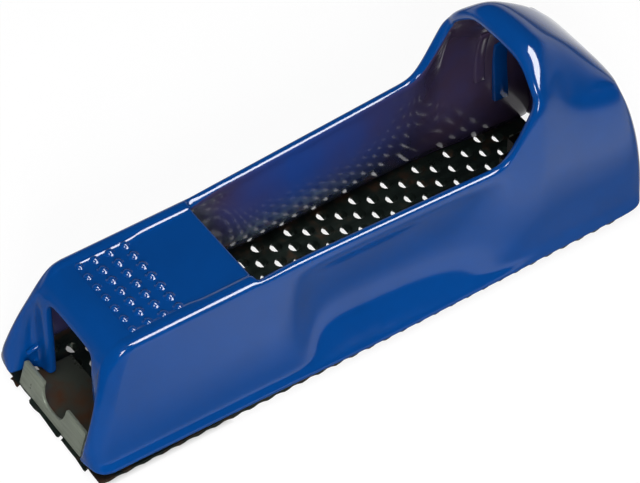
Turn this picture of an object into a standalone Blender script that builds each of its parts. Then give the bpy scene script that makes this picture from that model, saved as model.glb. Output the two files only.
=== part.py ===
"""Block rasp: a hollow cast body over a toothed steel blade that a heel screw pulls tight.

The tool lies along X with its toe at -X and its hooded heel at +X. The tooth tips stand on z = 0.
All sizes are millimetres and become metres when a mesh is made.
"""

from math import ceil, cos, pi, radians, sin

import bmesh
import bpy
from mathutils import Matrix, Vector

MM = 0.001
GAP = 0.3
CLOSE = 0.001

# Body casting: plan
LENGTH = 154.0
BASE_WIDTH_TOE = 42.6
BASE_WIDTH_HEEL = 44.6
RIM_WIDTH_TOE = 31.6
RIM_WIDTH_HEEL = 36.4
WALL = 2.3
PAD_LENGTH = 35.5
BROW_SETBACK = 11.6
FOOT_REACH = 12.6
BROW_ROUNDING = 5.6
HOOD_LENGTH = 33.0
SWEEP_LENGTH = 15.5

# Body casting: heights
TOE_LIFT = 1.2
SEAT_CUT = 0.4
RIM_HEIGHT = 33.7
RIM_RISE = 1.4
PAD_DEPTH = 0.9
SHOULDER_HEIGHT = 53.0
ARCH_HEIGHT = 58.6
CROWN_HEIGHT = 61.4
CROWN_SETBACK = 5.0
HEEL_STRAIGHT = 9.0
HEEL_BEND = 1.65
HEEL_EDGE_HEIGHT = 40.5
HEEL_ROUNDING = 0.8
HEEL_SHOULDER_HEIGHT = 39.2
HOOD_SHOULDER_WIDTH = 32.0
HEEL_SHOULDER_WIDTH = 33.0

# Body casting: details
BEAD_FLARE = 0.5
SCALLOP_DEPTH = 4.2
SCALLOP_SETBACK = 54.5
SCALLOP_RUN_IN = 6.0
SCALLOP_FOOT = (0.05, 0.3)
SCALLOP_BROW = (0.62, 0.95)
MOUTH_WIDTH = 18.8
MOUTH_HEIGHT = 29.0
LUG_WIDTH = 27.8
FOOT_FLARE = 9.5
FOOT_KNEE_HEIGHT = 15.0
CORNER_BULGE = 0.5
CORNER_TUCK = 0.6
FOOT_GAP = 0.9
DOME_ROWS = 4
DOME_COLUMNS = 7
DOME_PITCH_X = 3.93
DOME_PITCH_Y = 3.73
DOME_RADIUS = 1.05
DOME_RISE = 0.75
DOME_SETBACK = 16.8

# Blade
SHEET = 0.7
TOOTH_DROP = 1.7
TIP_FOLD = 0.2
BLADE_SIDE_INSET = 0.4
BLADE_TOE_INSET = 0.3
BLADE_HEEL_INSET = 10.5
TOOTH_PITCH = 9.33
TOOTH_STEP_X = 3.8
TOOTH_ROWS = 9
TOOTH_RIM = 0.62
SIDE_WAVE_DROP = 1.0
BLADE_MARGIN = 1.2

# Clips on the blade
CLIP_SHEET = 1.0
FRONT_CLIP_WIDTH = 26.4
FRONT_CLIP_LENGTH = 13.3
FRONT_LIP_HEIGHT = 6.4
FRONT_LIP_LEAN = 17.0
NOTCH_WIDTH = 9.6
NOTCH_DEPTH = 4.2
REAR_CLIP_WIDTH = 19.0
REAR_CLIP_LENGTH = 8.0
REAR_LIP_HEIGHT = 5.6

# Heel tensioner
SCREW_HEIGHT = 12.5
SCREW_DIAMETER = 4.0
SCREW_HEAD_DIAMETER = 7.8
SCREW_HEAD_HEIGHT = 2.5
SCREW_TAIL = 4.0
DRIVE_WIDTH = 1.1
DRIVE_DEPTH = 1.4
WASHER_DIAMETER = 8.6
WASHER_SHEET = 0.8
SPRING_WASHER_DIAMETER = 7.2
SPRING_WASHER_SHEET = 1.0
SPRING_WASHER_SLIT = 0.8
BOSS_LENGTH = 8.0
BOSS_WALL = 1.9
HEAD_RECESS = 1.2
NUT_WIDTH = 7.0
NUT_HEIGHT = 3.2
HOOK_SHEET = 1.6
HOOK_WIDTH = 17.0
HOOK_TOP = 5.5

# Places worked out from the sizes above
TOE_X = -LENGTH / 2
HEEL_X = LENGTH / 2
WEB_BOTTOM = TOOTH_DROP + TIP_FOLD
WEB_TOP = WEB_BOTTOM + SHEET
SKIRT_Z = WEB_TOP + GAP
BROW_X = TOE_X + BROW_SETBACK
WINDOW_X = BROW_X + PAD_LENGTH
ARCH_X = HEEL_X - HOOD_LENGTH
SWEEP_X = ARCH_X - SWEEP_LENGTH
CROWN_X = ARCH_X + CROWN_SETBACK
PAD_Z = RIM_HEIGHT - PAD_DEPTH
BLADE_WIDTH = BASE_WIDTH_TOE - 2 * BLADE_SIDE_INSET
TOOTH_STEP_Y = BLADE_WIDTH / 2 / TOOTH_ROWS
BLADE_TOE = TOE_X + BLADE_TOE_INSET
BLADE_HEEL = HEEL_X - BLADE_HEEL_INSET
CLIP_Z = WEB_TOP + GAP
BORE_RADIUS = SCREW_DIAMETER / 2 + GAP
RECESS_RADIUS = WASHER_DIAMETER / 2 + GAP
REAR_LIP_X = BLADE_HEEL - REAR_CLIP_LENGTH
HOOK_X = REAR_LIP_X - GAP - HOOK_SHEET
NUT_X = HOOK_X - GAP - NUT_HEIGHT
HEAD_X = HEEL_X - HEAD_RECESS - SCREW_HEAD_HEIGHT
SPRING_WASHER_X = HEAD_X - GAP - SPRING_WASHER_SHEET
WASHER_X = SPRING_WASHER_X - GAP - WASHER_SHEET
SEAT_X = WASHER_X - GAP
SCREW_END_X = NUT_X - SCREW_TAIL

# Cells of the body's block cage: shares up a wall, along each stretch, and across the top from wall to middle
WALL_ROWS = (0.0, 0.075, 0.16, 0.32, 0.55, 0.78, 0.92, 1.0)
MOUTH_ROW = 6
PAD_STATIONS = (0.12, 0.4, 0.7, 0.95, 1.0)
SIDE_STATIONS = (0.25, 0.5, 0.76, 1.0)
SWEEP_STATIONS = (0.36, 0.64, 0.86, 1.0)
HOOD_STATIONS = (0.14, 0.36, 0.62, 0.87)
RIM_COLUMNS = (0.0, 0.75, 1.3)
HOOD_COLUMNS = (1.0, 0.8, 0.6, 0.32, 0.0)
HOOD_DOME = (0.0, 0.42, 0.72, 0.94, 1.0)
HEEL_COLUMNS = (1.0, 0.78, 0.56, 0.3, 0.0)
FOOT_COLUMNS = (0.0, 1.0, 0.12, 0.0, 0.0)
COLUMNS = 2 * (len(HOOD_COLUMNS) - 1)
CAGE_LEVELS = 1
ROUND_STEPS = 20

# Bends of the body's curves: 1 is straight, more starts flatter
SWEEP_BEND = 2.2
SHOULDER_BEND = 1.5
FOOT_BEND = 1.3
HOOD_SIDE_BEND = 6.0
HOOD_SIDE_SHARE = 0.2
HEEL_SIDE_BEND = 3.0
HEEL_SIDE_SHARE = 0.45


def ease(value, start, end):
    """Smooth step from 0 at start to 1 at end."""
    share = min(max((value - start) / (end - start), 0.0), 1.0)
    return share * share * (3.0 - 2.0 * share)


def share_between(value, start, end):
    """Straight step from 0 at start to 1 at end."""
    return min(max((value - start) / (end - start), 0.0), 1.0)


def mix(first, second, share):
    """Value that lies a share of the way from first to second."""
    return first + (second - first) * share


def make_object(name, bm, material):
    """Turn a bmesh in millimetres into a named object in metres."""
    bmesh.ops.scale(bm, vec=(MM, MM, MM), verts=bm.verts)
    mesh = bpy.data.meshes.new(name)
    bm.to_mesh(mesh)
    bm.free()
    mesh.materials.append(material)
    obj = bpy.data.objects.new(name, mesh)
    bpy.context.scene.collection.objects.link(obj)
    return obj


def make_material(name, colour, roughness, metallic):
    """Plain Principled material."""
    material = bpy.data.materials.new(name)
    material.use_nodes = True
    shader = material.node_tree.nodes["Principled BSDF"]
    shader.inputs["Base Color"].default_value = (*colour, 1.0)
    shader.inputs["Roughness"].default_value = roughness
    shader.inputs["Metallic"].default_value = metallic
    return material


def shade_round(obj, angle=35.0):
    """Smooth shading that keeps edges sharper than the angle."""
    obj.data.shade_smooth()
    obj.data.set_sharp_from_angle(angle=radians(angle))


def use_as_cutter(obj):
    """Keep a helper out of the finished model."""
    obj.hide_render = True
    obj.display_type = "WIRE"


def combine(target, helper, operation):
    """Exact Boolean of a helper on a target."""
    use_as_cutter(helper)
    modifier = target.modifiers.new(operation.lower(), "BOOLEAN")
    modifier.object = helper
    modifier.operation = operation
    modifier.solver = "EXACT"


def set_origin(obj, point):
    """Move an object's origin to a point in millimetres and leave its shape where it is."""
    place = Vector(point) * MM
    obj.data.transform(Matrix.Translation(-place))
    obj.location = place


def picked(items, kind):
    """The elements of one kind from a mixed list of mesh elements."""
    return [item for item in items if isinstance(item, kind)]


def block_cage(cells):
    """Block of unit cells, cut at every whole number along X, Y and Z."""
    bm = bmesh.new()
    size = Vector(cells)
    place = Matrix.Translation(size / 2) @ Matrix.Diagonal((*size, 1.0))
    bmesh.ops.create_cube(bm, size=1.0, matrix=place)
    for axis, count in enumerate(cells):
        normal = Vector((0.0, 0.0, 0.0))
        normal[axis] = 1.0
        for step in range(1, count):
            geom = bm.verts[:] + bm.edges[:] + bm.faces[:]
            bmesh.ops.bisect_plane(bm, geom=geom, plane_co=normal * step, plane_no=normal)
    return bm


def add_box(bm, low, high):
    """Add a box between two corners."""
    size = Vector(high) - Vector(low)
    place = Matrix.Translation((Vector(low) + Vector(high)) / 2) @ Matrix.Diagonal((*size, 1.0))
    bmesh.ops.create_cube(bm, size=1.0, matrix=place)


def add_rod(bm, start, end, radius, height=SCREW_HEIGHT, steps=ROUND_STEPS):
    """Add a round rod along X on the screw's axis."""
    place = Matrix.Translation(((start + end) / 2, 0.0, height)) @ Matrix.Rotation(pi / 2, 4, "Y")
    bmesh.ops.create_cone(
        bm, cap_ends=True, segments=steps, radius1=radius, radius2=radius, depth=end - start, matrix=place
    )


def ring_along_x(start, end, inner, outer, turn=2 * pi):
    """Ring round the screw's axis, or a split ring when the turn is short of a whole one."""
    bm = bmesh.new()
    corners = ((start, inner), (end, inner), (end, outer), (start, outer))
    profile = [bm.verts.new((x, 0.0, radius)) for x, radius in corners]
    face = bm.faces.new(profile)
    whole = abs(turn - 2 * pi) < 1e-6
    geom = face.edges[:] + profile if whole else [face]
    bmesh.ops.spin(
        bm,
        geom=geom,
        cent=(0.0, 0.0, 0.0),
        axis=(1.0, 0.0, 0.0),
        angle=turn,
        steps=ROUND_STEPS,
        use_merge=whole,
    )
    if whole:
        bmesh.ops.delete(bm, geom=[face], context="FACES_ONLY")
    bmesh.ops.remove_doubles(bm, verts=bm.verts, dist=CLOSE)
    bmesh.ops.recalc_face_normals(bm, faces=bm.faces)
    bmesh.ops.translate(bm, vec=(0.0, 0.0, SCREW_HEIGHT), verts=bm.verts)
    return bm


def body_stations():
    """Places of the wall's cage lines from toe to heel."""
    pad = [mix(BROW_X, WINDOW_X, share) for share in PAD_STATIONS]
    scallop_x = TOE_X + SCALLOP_SETBACK
    side = [scallop_x, scallop_x + SCALLOP_RUN_IN]
    side += [mix(side[-1], SWEEP_X, share) for share in SIDE_STATIONS]
    sweep = [mix(SWEEP_X, ARCH_X, share) for share in SWEEP_STATIONS]
    hood = [mix(ARCH_X, HEEL_X, share) for share in HOOD_STATIONS]
    return [TOE_X] + pad + side + sweep + hood + [HEEL_X]


STATIONS = body_stations()
LAST = len(STATIONS) - 1
WINDOW_START = STATIONS.index(WINDOW_X)
WINDOW_END = STATIONS.index(ARCH_X)


def skirt_z(x):
    """Height of the wall's lower edge, lifted at the toe."""
    return SKIRT_Z - SEAT_CUT + (TOE_LIFT + SEAT_CUT) * (1.0 - share_between(x, TOE_X, 0.0))


def heel_x(z):
    """Centre line of the heel: upright, then an oval sweep up to the crown."""
    rise = share_between(z, HEEL_STRAIGHT, CROWN_HEIGHT)
    return CROWN_X + (HEEL_X - CROWN_X) * (1.0 - rise**HEEL_BEND) ** (1.0 / HEEL_BEND)


def crown_z(x):
    """Centre line of the hood's top, from the arch over the crown and down to the heel's upper edge."""
    if x < CROWN_X:
        return mix(ARCH_HEIGHT, CROWN_HEIGHT, ease(x, ARCH_X, CROWN_X))
    run = share_between(x, CROWN_X, HEEL_X)
    return HEEL_STRAIGHT + (CROWN_HEIGHT - HEEL_STRAIGHT) * (1.0 - run**HEEL_BEND) ** (1.0 / HEEL_BEND)


HEEL_EDGE_X = heel_x(HEEL_EDGE_HEIGHT)


def station_x(i, row):
    """Place of a cage line at a share of the wall's height; the hood's lines lean with the heel."""
    if STATIONS[i] <= ARCH_X:
        return STATIONS[i]
    back = heel_x(mix(SKIRT_Z, HEEL_EDGE_HEIGHT, row))
    return mix(ARCH_X, back, share_between(STATIONS[i], ARCH_X, HEEL_X))


def shoulder_z(x):
    """Height of a wall's top: the rim, its sweep up to the arch, or the hood's shoulder."""
    rim = RIM_HEIGHT + RIM_RISE * share_between(x, WINDOW_X, SWEEP_X)
    if x <= ARCH_X:
        return mix(rim, SHOULDER_HEIGHT, share_between(x, SWEEP_X, ARCH_X) ** SWEEP_BEND)
    return mix(SHOULDER_HEIGHT, HEEL_SHOULDER_HEIGHT, share_between(x, CROWN_X, HEEL_EDGE_X) ** SHOULDER_BEND)


def base_half(x):
    """Half the width of the wall's lower edge."""
    return mix(BASE_WIDTH_TOE, BASE_WIDTH_HEEL, share_between(x, BROW_X, 0.0)) / 2


def shoulder_half(x):
    """Half the width at a wall's top."""
    rim = mix(RIM_WIDTH_TOE, RIM_WIDTH_HEEL, share_between(x, WINDOW_X, SWEEP_X))
    hood = mix(rim, HOOD_SHOULDER_WIDTH, share_between(x, SWEEP_X, ARCH_X) ** SWEEP_BEND)
    return mix(hood, HEEL_SHOULDER_WIDTH, share_between(x, CROWN_X, HEEL_X)) / 2


def scallop(x, row):
    """How far the finger scallop sets the wall in."""
    start = TOE_X + SCALLOP_SETBACK
    along = ease(x, start, start + SCALLOP_RUN_IN) * (1.0 - ease(x, SWEEP_X, HEEL_X))
    across = ease(row, *SCALLOP_FOOT) * (1.0 - ease(row, *SCALLOP_BROW))
    return SCALLOP_DEPTH * along * across


def wall_half(x, row):
    """Half the width of the body at a share of its wall's height."""
    hooded = share_between(x, SWEEP_X, ARCH_X)
    lean = mix(row, mix(row, row**HOOD_SIDE_BEND, HOOD_SIDE_SHARE), hooded)
    flare = BEAD_FLARE if row == 0.0 else 0.0
    return mix(base_half(x), shoulder_half(x), lean) + flare - scallop(x, row)


def cheek_shift(z, foot):
    """How far the front wall stands ahead of the brow: upright at the mouth, flared below a foot's knee."""
    upright = FOOT_REACH - FOOT_FLARE
    below = share_between(FOOT_KNEE_HEIGHT - z, 0.0, FOOT_KNEE_HEIGHT - SKIRT_Z)
    flare = FOOT_FLARE * foot * below**FOOT_BEND
    return upright * ease(RIM_HEIGHT - z, 0.0, BROW_ROUNDING) + flare


def corner_shift(z):
    """How far the body's front corner stands ahead of the brow: a straight slope down to the foot."""
    return FOOT_REACH * share_between(RIM_HEIGHT - z, 0.0, RIM_HEIGHT - SKIRT_Z) ** CORNER_BULGE


def top_columns(x):
    """Places across the top for the cage's columns, from the near wall to the middle."""
    edge = shoulder_half(x)
    if x < ARCH_X:
        return [edge - WALL * share for share in RIM_COLUMNS] + [MOUTH_WIDTH / 2, 0.0]
    return [edge * share for share in HOOD_COLUMNS]


def top_z(x, column):
    """Height of the top at a column: the pad with its raised rims, or the hood's dome."""
    if x < ARCH_X:
        return RIM_HEIGHT if column < 2 else PAD_Z
    return mix(shoulder_z(x), crown_z(x), HOOD_DOME[column])


def front_point(column, row):
    """Cage point of the front wall, with its mouth, lugs and feet."""
    lug = LUG_WIDTH / 2
    low = (wall_half(TOE_X, row) - CORNER_TUCK, lug + FOOT_GAP, lug, MOUTH_WIDTH / 2, 0.0)[column]
    y = mix(low, top_columns(BROW_X)[column], ease(row, 0.5, 1.0))
    bottom = skirt_z(TOE_X)
    top = MOUTH_HEIGHT if row < 1.0 else top_z(BROW_X, column)
    z = mix(bottom, top, row / WALL_ROWS[MOUTH_ROW] if row < 1.0 else 1.0)
    shift = cheek_shift(z, FOOT_COLUMNS[column]) if column else corner_shift(z)
    return BROW_X - shift, y, z


def rear_point(column, row):
    """Cage point of the heel wall."""
    across = HEEL_COLUMNS[column]
    crown = mix(HEEL_EDGE_HEIGHT, HEEL_SHOULDER_HEIGHT, across**2)
    z = mix(SKIRT_Z, crown, row)
    lean = mix(row, row**HEEL_SIDE_BEND, HEEL_SIDE_SHARE)
    half = mix(base_half(HEEL_X) - CORNER_TUCK, HEEL_SHOULDER_WIDTH / 2, lean)
    return heel_x(z) - HEEL_ROUNDING * across**4, across * half, z


def body_point(i, j, k):
    """Place of one corner of the body's block cage."""
    side = -1.0 if j < COLUMNS // 2 else 1.0
    column = min(j, COLUMNS - j)
    row = WALL_ROWS[k]
    x = station_x(i, row)
    if i == 0:
        x, y, z = front_point(column, row)
    elif i == LAST:
        x, y, z = rear_point(column, row)
    elif row == 1.0 and column > 0:
        y = top_columns(x)[column]
        z = top_z(x, column)
    else:
        z = mix(skirt_z(x), shoulder_z(station_x(i, 1.0)), row)
        y = wall_half(x, row)
        x -= corner_shift(z) * (1.0 - ease(x, BROW_X, WINDOW_X))
    return x, side * y, z


def body_casting(material):
    """Hollow casting: moulded cage with window and mouth, thickened inward and rounded."""
    rows = len(WALL_ROWS) - 1
    bm = block_cage((LAST, COLUMNS, rows))
    cut = []
    middle = COLUMNS // 2
    for face in bm.faces:
        place = face.calc_center_median()
        under = place.z < 0.1
        window = place.z > rows - 0.1 and WINDOW_START < place.x < WINDOW_END
        mouth = place.x < 0.1 and abs(place.y - middle) < 1.0 and place.z < MOUTH_ROW
        if under or window or mouth:
            cut.append(face)
    bmesh.ops.delete(bm, geom=cut, context="FACES")
    for vert in bm.verts:
        vert.co = body_point(*(round(value) for value in vert.co))
    body = make_object("body_casting", bm, material)
    shell = body.modifiers.new("wall", "SOLIDIFY")
    shell.thickness = WALL * MM
    shell.offset = -1.0
    shell.use_even_offset = True
    rounding = body.modifiers.new("rounding", "SUBSURF")
    rounding.levels = CAGE_LEVELS
    rounding.render_levels = CAGE_LEVELS
    combine(body, pad_domes(material), "UNION")
    combine(body, heel_boss(material), "UNION")
    combine(body, screw_passage(material), "DIFFERENCE")
    combine(body, seat_slab(material), "DIFFERENCE")
    shade_round(body)
    return body


def pad_domes(material):
    """Grip domes of the thumb pad, sunk into its floor."""
    bm = bmesh.new()
    for row in range(DOME_ROWS):
        for column in range(DOME_COLUMNS):
            x = TOE_X + DOME_SETBACK + row * DOME_PITCH_X
            y = (column - (DOME_COLUMNS - 1) / 2) * DOME_PITCH_Y
            place = Matrix.Translation((x, y, PAD_Z + DOME_RISE - DOME_RADIUS))
            bmesh.ops.create_uvsphere(bm, u_segments=7, v_segments=4, radius=DOME_RADIUS, matrix=place)
    return make_object("pad_domes", bm, material)


def heel_boss(material):
    """Round boss that carries the screw inside the heel wall."""
    bm = bmesh.new()
    add_rod(bm, SEAT_X - BOSS_LENGTH + GAP, HEEL_X - WALL / 2, RECESS_RADIUS + BOSS_WALL)
    return make_object("heel_boss", bm, material)


def screw_passage(material):
    """Stepped bore through the heel boss: shank bore, then a recess for head and washers."""
    bm = bmesh.new()
    edges = (
        (SEAT_X - BOSS_LENGTH - GAP, BORE_RADIUS),
        (SEAT_X, BORE_RADIUS),
        (SEAT_X, RECESS_RADIUS),
        (HEEL_X + WALL, RECESS_RADIUS),
    )
    line = [bm.verts.new((x, 0.0, radius)) for x, radius in edges]
    line.insert(0, bm.verts.new((edges[0][0], 0.0, 0.0)))
    line.append(bm.verts.new((edges[-1][0], 0.0, 0.0)))
    spine = [bm.edges.new(pair) for pair in zip(line, line[1:])]
    bmesh.ops.spin(
        bm,
        geom=line + spine,
        cent=(0.0, 0.0, 0.0),
        axis=(1.0, 0.0, 0.0),
        angle=2 * pi,
        steps=ROUND_STEPS,
        use_merge=True,
    )
    bmesh.ops.remove_doubles(bm, verts=bm.verts, dist=CLOSE)
    bmesh.ops.recalc_face_normals(bm, faces=bm.faces)
    bmesh.ops.translate(bm, vec=(0.0, 0.0, SCREW_HEIGHT), verts=bm.verts)
    return make_object("screw_passage", bm, material)


def seat_slab(material):
    """Slab that planes the walls' feet flat, just clear of the blade."""
    bm = bmesh.new()
    low = (TOE_X - WALL, -BASE_WIDTH_HEEL, -SKIRT_Z)
    high = (HEEL_X + WALL, BASE_WIDTH_HEEL, SKIRT_Z)
    add_box(bm, low, high)
    return make_object("seat_slab", bm, material)


def tooth_grid():
    """Flat sheet of diamond cells on the tooth lattice, trimmed to the blade's rectangle."""
    along = Vector((TOOTH_STEP_X, -TOOTH_STEP_Y, 0.0))
    across = Vector((TOOTH_PITCH - TOOTH_STEP_X, TOOTH_STEP_Y, 0.0))
    reach = BLADE_HEEL - BLADE_TOE + BLADE_WIDTH * TOOTH_PITCH / TOOTH_STEP_Y / 2
    cells = 2 * ceil(reach / TOOTH_PITCH)
    bm = bmesh.new()
    bmesh.ops.create_grid(bm, x_segments=cells, y_segments=cells, size=cells / 2)
    middle = Vector(((BLADE_TOE + BLADE_HEEL) / 2, 0.0, 0.0))
    for vert in bm.verts:
        vert.co = middle + along * vert.co.x + across * vert.co.y
    for point, normal in (
        ((BLADE_TOE, 0, 0), (-1, 0, 0)),
        ((BLADE_HEEL, 0, 0), (1, 0, 0)),
        ((0, -BLADE_WIDTH / 2, 0), (0, -1, 0)),
        ((0, BLADE_WIDTH / 2, 0), (0, 1, 0)),
    ):
        geom = bm.verts[:] + bm.edges[:] + bm.faces[:]
        bmesh.ops.bisect_plane(bm, geom=geom, plane_co=point, plane_no=normal, clear_outer=True)
    bmesh.ops.remove_doubles(bm, verts=bm.verts, dist=CLOSE)
    return bm


def is_tooth_cell(face):
    """A whole diamond that lies clear of the blade's plain margin."""
    whole = TOOTH_PITCH * TOOTH_STEP_Y
    if face.calc_area() < 0.999 * whole:
        return False
    inside_x = all(BLADE_TOE + BLADE_MARGIN < vert.co.x < BLADE_HEEL - BLADE_MARGIN for vert in face.verts)
    return inside_x and all(abs(vert.co.y) < BLADE_WIDTH / 2 - BLADE_MARGIN / 2 for vert in face.verts)


def side_line(bm, side):
    """Edges of the sheet along one long side."""
    place = side * BLADE_WIDTH / 2
    return [edge for edge in bm.edges if all(abs(vert.co.y - place) < CLOSE for vert in edge.verts)]


def turn_down_sides(bm):
    """Turn both long edges down in a wave with two crests to every tooth cell."""
    for side in (-1.0, 1.0):
        whole = [edge for edge in side_line(bm, side) if abs(edge.calc_length() - TOOTH_PITCH) < CLOSE]
        start = min(vert.co.x for edge in whole for vert in edge.verts)
        bmesh.ops.subdivide_edges(bm, edges=whole, cuts=3)
        lower = bmesh.ops.extrude_edge_only(bm, edges=side_line(bm, side))
        for vert in picked(lower["geom"], bmesh.types.BMVert):
            quarter = round(4 * (vert.co.x - start) / TOOTH_PITCH)
            vert.co.z -= TOOTH_DROP if quarter % 2 else SIDE_WAVE_DROP


def open_tooth(bm, cell):
    """Open the front half of a diamond cell and press the other half down into a tooth."""
    corners = sorted(cell.verts, key=lambda vert: vert.co.x)
    bmesh.utils.face_split(cell, corners[1], corners[2])
    lip = bm.edges.get(corners[1:3])
    front = min(lip.link_faces, key=lambda half: half.calc_center_median().x)
    bmesh.ops.delete(bm, geom=[front], context="FACES_ONLY")
    cut = bmesh.ops.subdivide_edges(bm, edges=[lip], cuts=1, use_single_edge=True)
    for vert in picked(cut["geom_inner"], bmesh.types.BMVert):
        vert.co.z -= TOOTH_DROP


def rasp_blade(material):
    """Perforated blade: each diamond cell has a hole with a scooped tooth behind it."""
    bm = tooth_grid()
    cells = [face for face in bm.faces if is_tooth_cell(face)]
    bmesh.ops.inset_individual(bm, faces=cells, thickness=TOOTH_RIM, use_even_offset=True)
    for cell in cells:
        open_tooth(bm, cell)
    turn_down_sides(bm)
    bmesh.ops.recalc_face_normals(bm, faces=bm.faces)
    if sum(face.normal.z * face.calc_area() for face in bm.faces) < 0.0:
        bmesh.ops.reverse_faces(bm, faces=bm.faces)
    bmesh.ops.translate(bm, vec=(0.0, 0.0, WEB_TOP), verts=bm.verts)
    blade = make_object("rasp_blade", bm, material)
    shell = blade.modifiers.new("sheet", "SOLIDIFY")
    shell.thickness = SHEET * MM
    shell.offset = -1.0
    shell.use_even_offset = True
    return blade


def front_clip(material):
    """Front clip: tongue on the blade and a leaning lip with a round-bottomed notch."""
    bm = lip_profile(FRONT_CLIP_WIDTH, FRONT_LIP_HEIGHT, NOTCH_WIDTH, NOTCH_DEPTH)
    lean = Matrix.Rotation(radians(FRONT_LIP_LEAN), 4, "Y")
    bmesh.ops.transform(bm, matrix=lean, verts=bm.verts)
    tongue = [edge for edge in bm.edges if all(abs(vert.co.z) < 1e-6 for vert in edge.verts)]
    pulled = bmesh.ops.extrude_edge_only(bm, edges=tongue)
    verts = [item for item in pulled["geom"] if isinstance(item, bmesh.types.BMVert)]
    bmesh.ops.translate(bm, vec=(FRONT_CLIP_LENGTH, 0.0, 0.0), verts=verts)
    bmesh.ops.recalc_face_normals(bm, faces=bm.faces)
    bmesh.ops.translate(bm, vec=(BLADE_TOE + CLIP_SHEET / 2, 0.0, CLIP_Z + CLIP_SHEET / 2), verts=bm.verts)
    clip = make_object("front_clip", bm, material)
    thicken(clip, CLIP_SHEET)
    return clip


def lip_profile(width, height, notch_width, notch_depth):
    """Upright lip in the YZ plane with its bend at z = 0 and a notch in its upper edge."""
    bm = bmesh.new()
    half = width / 2
    notch = notch_width / 2
    arc = [(-notch * cos(pi * step / 6), height - notch_depth * sin(pi * step / 6)) for step in range(7)]
    upper = [(-half, height)] + arc + [(half, height)]
    top = [bm.verts.new((0.0, y, z)) for y, z in upper]
    bottom = [bm.verts.new((0.0, y, 0.0)) for y, z in upper]
    for step in range(len(upper) - 1):
        bm.faces.new((bottom[step], bottom[step + 1], top[step + 1], top[step]))
    return bm


def thicken(obj, sheet):
    """Give a bent sheet its thickness, half to each side."""
    shell = obj.modifiers.new("sheet", "SOLIDIFY")
    shell.thickness = sheet * MM
    shell.offset = 0.0
    shell.use_even_offset = True


def rear_clip(material):
    """Rear clip: tongue on the blade's heel end and an upright lip that the hook pulls."""
    bm = bmesh.new()
    half = REAR_CLIP_WIDTH / 2
    line = ((REAR_CLIP_LENGTH, 0.0), (0.0, 0.0), (0.0, REAR_LIP_HEIGHT))
    rails = [[bm.verts.new((x, y, z)) for x, z in line] for y in (-half, half)]
    for step in range(2):
        bm.faces.new((rails[0][step], rails[0][step + 1], rails[1][step + 1], rails[1][step]))
    bmesh.ops.recalc_face_normals(bm, faces=bm.faces)
    bmesh.ops.translate(bm, vec=(REAR_LIP_X + CLIP_SHEET / 2, 0.0, CLIP_Z + CLIP_SHEET / 2), verts=bm.verts)
    clip = make_object("rear_clip", bm, material)
    thicken(clip, CLIP_SHEET)
    return clip


def tension_hook(material):
    """Plate on the screw whose lower edge bears on the rear clip's lip."""
    bm = bmesh.new()
    top = SCREW_HEIGHT + HOOK_TOP
    add_box(bm, (HOOK_X, -HOOK_WIDTH / 2, CLIP_Z), (HOOK_X + HOOK_SHEET, HOOK_WIDTH / 2, top))
    upper = [edge for edge in bm.edges if all(vert.co.z > SCREW_HEIGHT for vert in edge.verts)]
    corners = [edge for edge in upper if abs(edge.verts[0].co.x - edge.verts[1].co.x) > HOOK_SHEET / 2]
    bmesh.ops.bevel(
        bm, geom=corners, offset=HOOK_TOP * 0.6, affect="EDGES", segments=3, profile=0.5, material=-1
    )
    hook = make_object("tension_hook", bm, material)
    bore = bmesh.new()
    add_rod(bore, HOOK_X - GAP, HOOK_X + HOOK_SHEET + GAP, BORE_RADIUS)
    combine(hook, make_object("hook_bore", bore, material), "DIFFERENCE")
    return hook


def tension_nut(material):
    """Square nut that the hook is drawn by."""
    bm = bmesh.new()
    half = NUT_WIDTH / 2
    low = (NUT_X, -half, SCREW_HEIGHT - half)
    high = (NUT_X + NUT_HEIGHT, half, SCREW_HEIGHT + half)
    add_box(bm, low, high)
    nut = make_object("tension_nut", bm, material)
    bore = bmesh.new()
    add_rod(bore, NUT_X - GAP, NUT_X + NUT_HEIGHT + GAP, BORE_RADIUS)
    combine(nut, make_object("nut_bore", bore, material), "DIFFERENCE")
    return nut


def tension_screw(material):
    """Slotted pan-head screw along X."""
    bm = bmesh.new()
    radius = SCREW_DIAMETER / 2
    head = SCREW_HEAD_DIAMETER / 2
    line = (
        (SCREW_END_X, 0.0),
        (SCREW_END_X, radius * 0.7),
        (SCREW_END_X + radius * 0.3, radius),
        (HEAD_X, radius),
        (HEAD_X, head),
        (HEAD_X + SCREW_HEAD_HEIGHT * 0.55, head),
        (HEAD_X + SCREW_HEAD_HEIGHT, head * 0.7),
        (HEAD_X + SCREW_HEAD_HEIGHT, 0.0),
    )
    verts = [bm.verts.new((x, 0.0, z)) for x, z in line]
    edges = [bm.edges.new(pair) for pair in zip(verts, verts[1:])]
    bmesh.ops.spin(
        bm,
        geom=verts + edges,
        cent=(0.0, 0.0, 0.0),
        axis=(1.0, 0.0, 0.0),
        angle=2 * pi,
        steps=ROUND_STEPS,
        use_merge=True,
    )
    bmesh.ops.remove_doubles(bm, verts=bm.verts, dist=CLOSE)
    bmesh.ops.recalc_face_normals(bm, faces=bm.faces)
    bmesh.ops.translate(bm, vec=(0.0, 0.0, SCREW_HEIGHT), verts=bm.verts)
    screw = make_object("tension_screw", bm, material)
    slot = bmesh.new()
    end = HEAD_X + SCREW_HEAD_HEIGHT
    low = (end - DRIVE_DEPTH, -SCREW_HEAD_DIAMETER, SCREW_HEIGHT - DRIVE_WIDTH / 2)
    high = (end + DRIVE_DEPTH, SCREW_HEAD_DIAMETER, SCREW_HEIGHT + DRIVE_WIDTH / 2)
    add_box(slot, low, high)
    combine(screw, make_object("drive_slot", slot, material), "DIFFERENCE")
    set_origin(screw, (HEAD_X, 0.0, SCREW_HEIGHT))
    shade_round(screw)
    return screw


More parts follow.
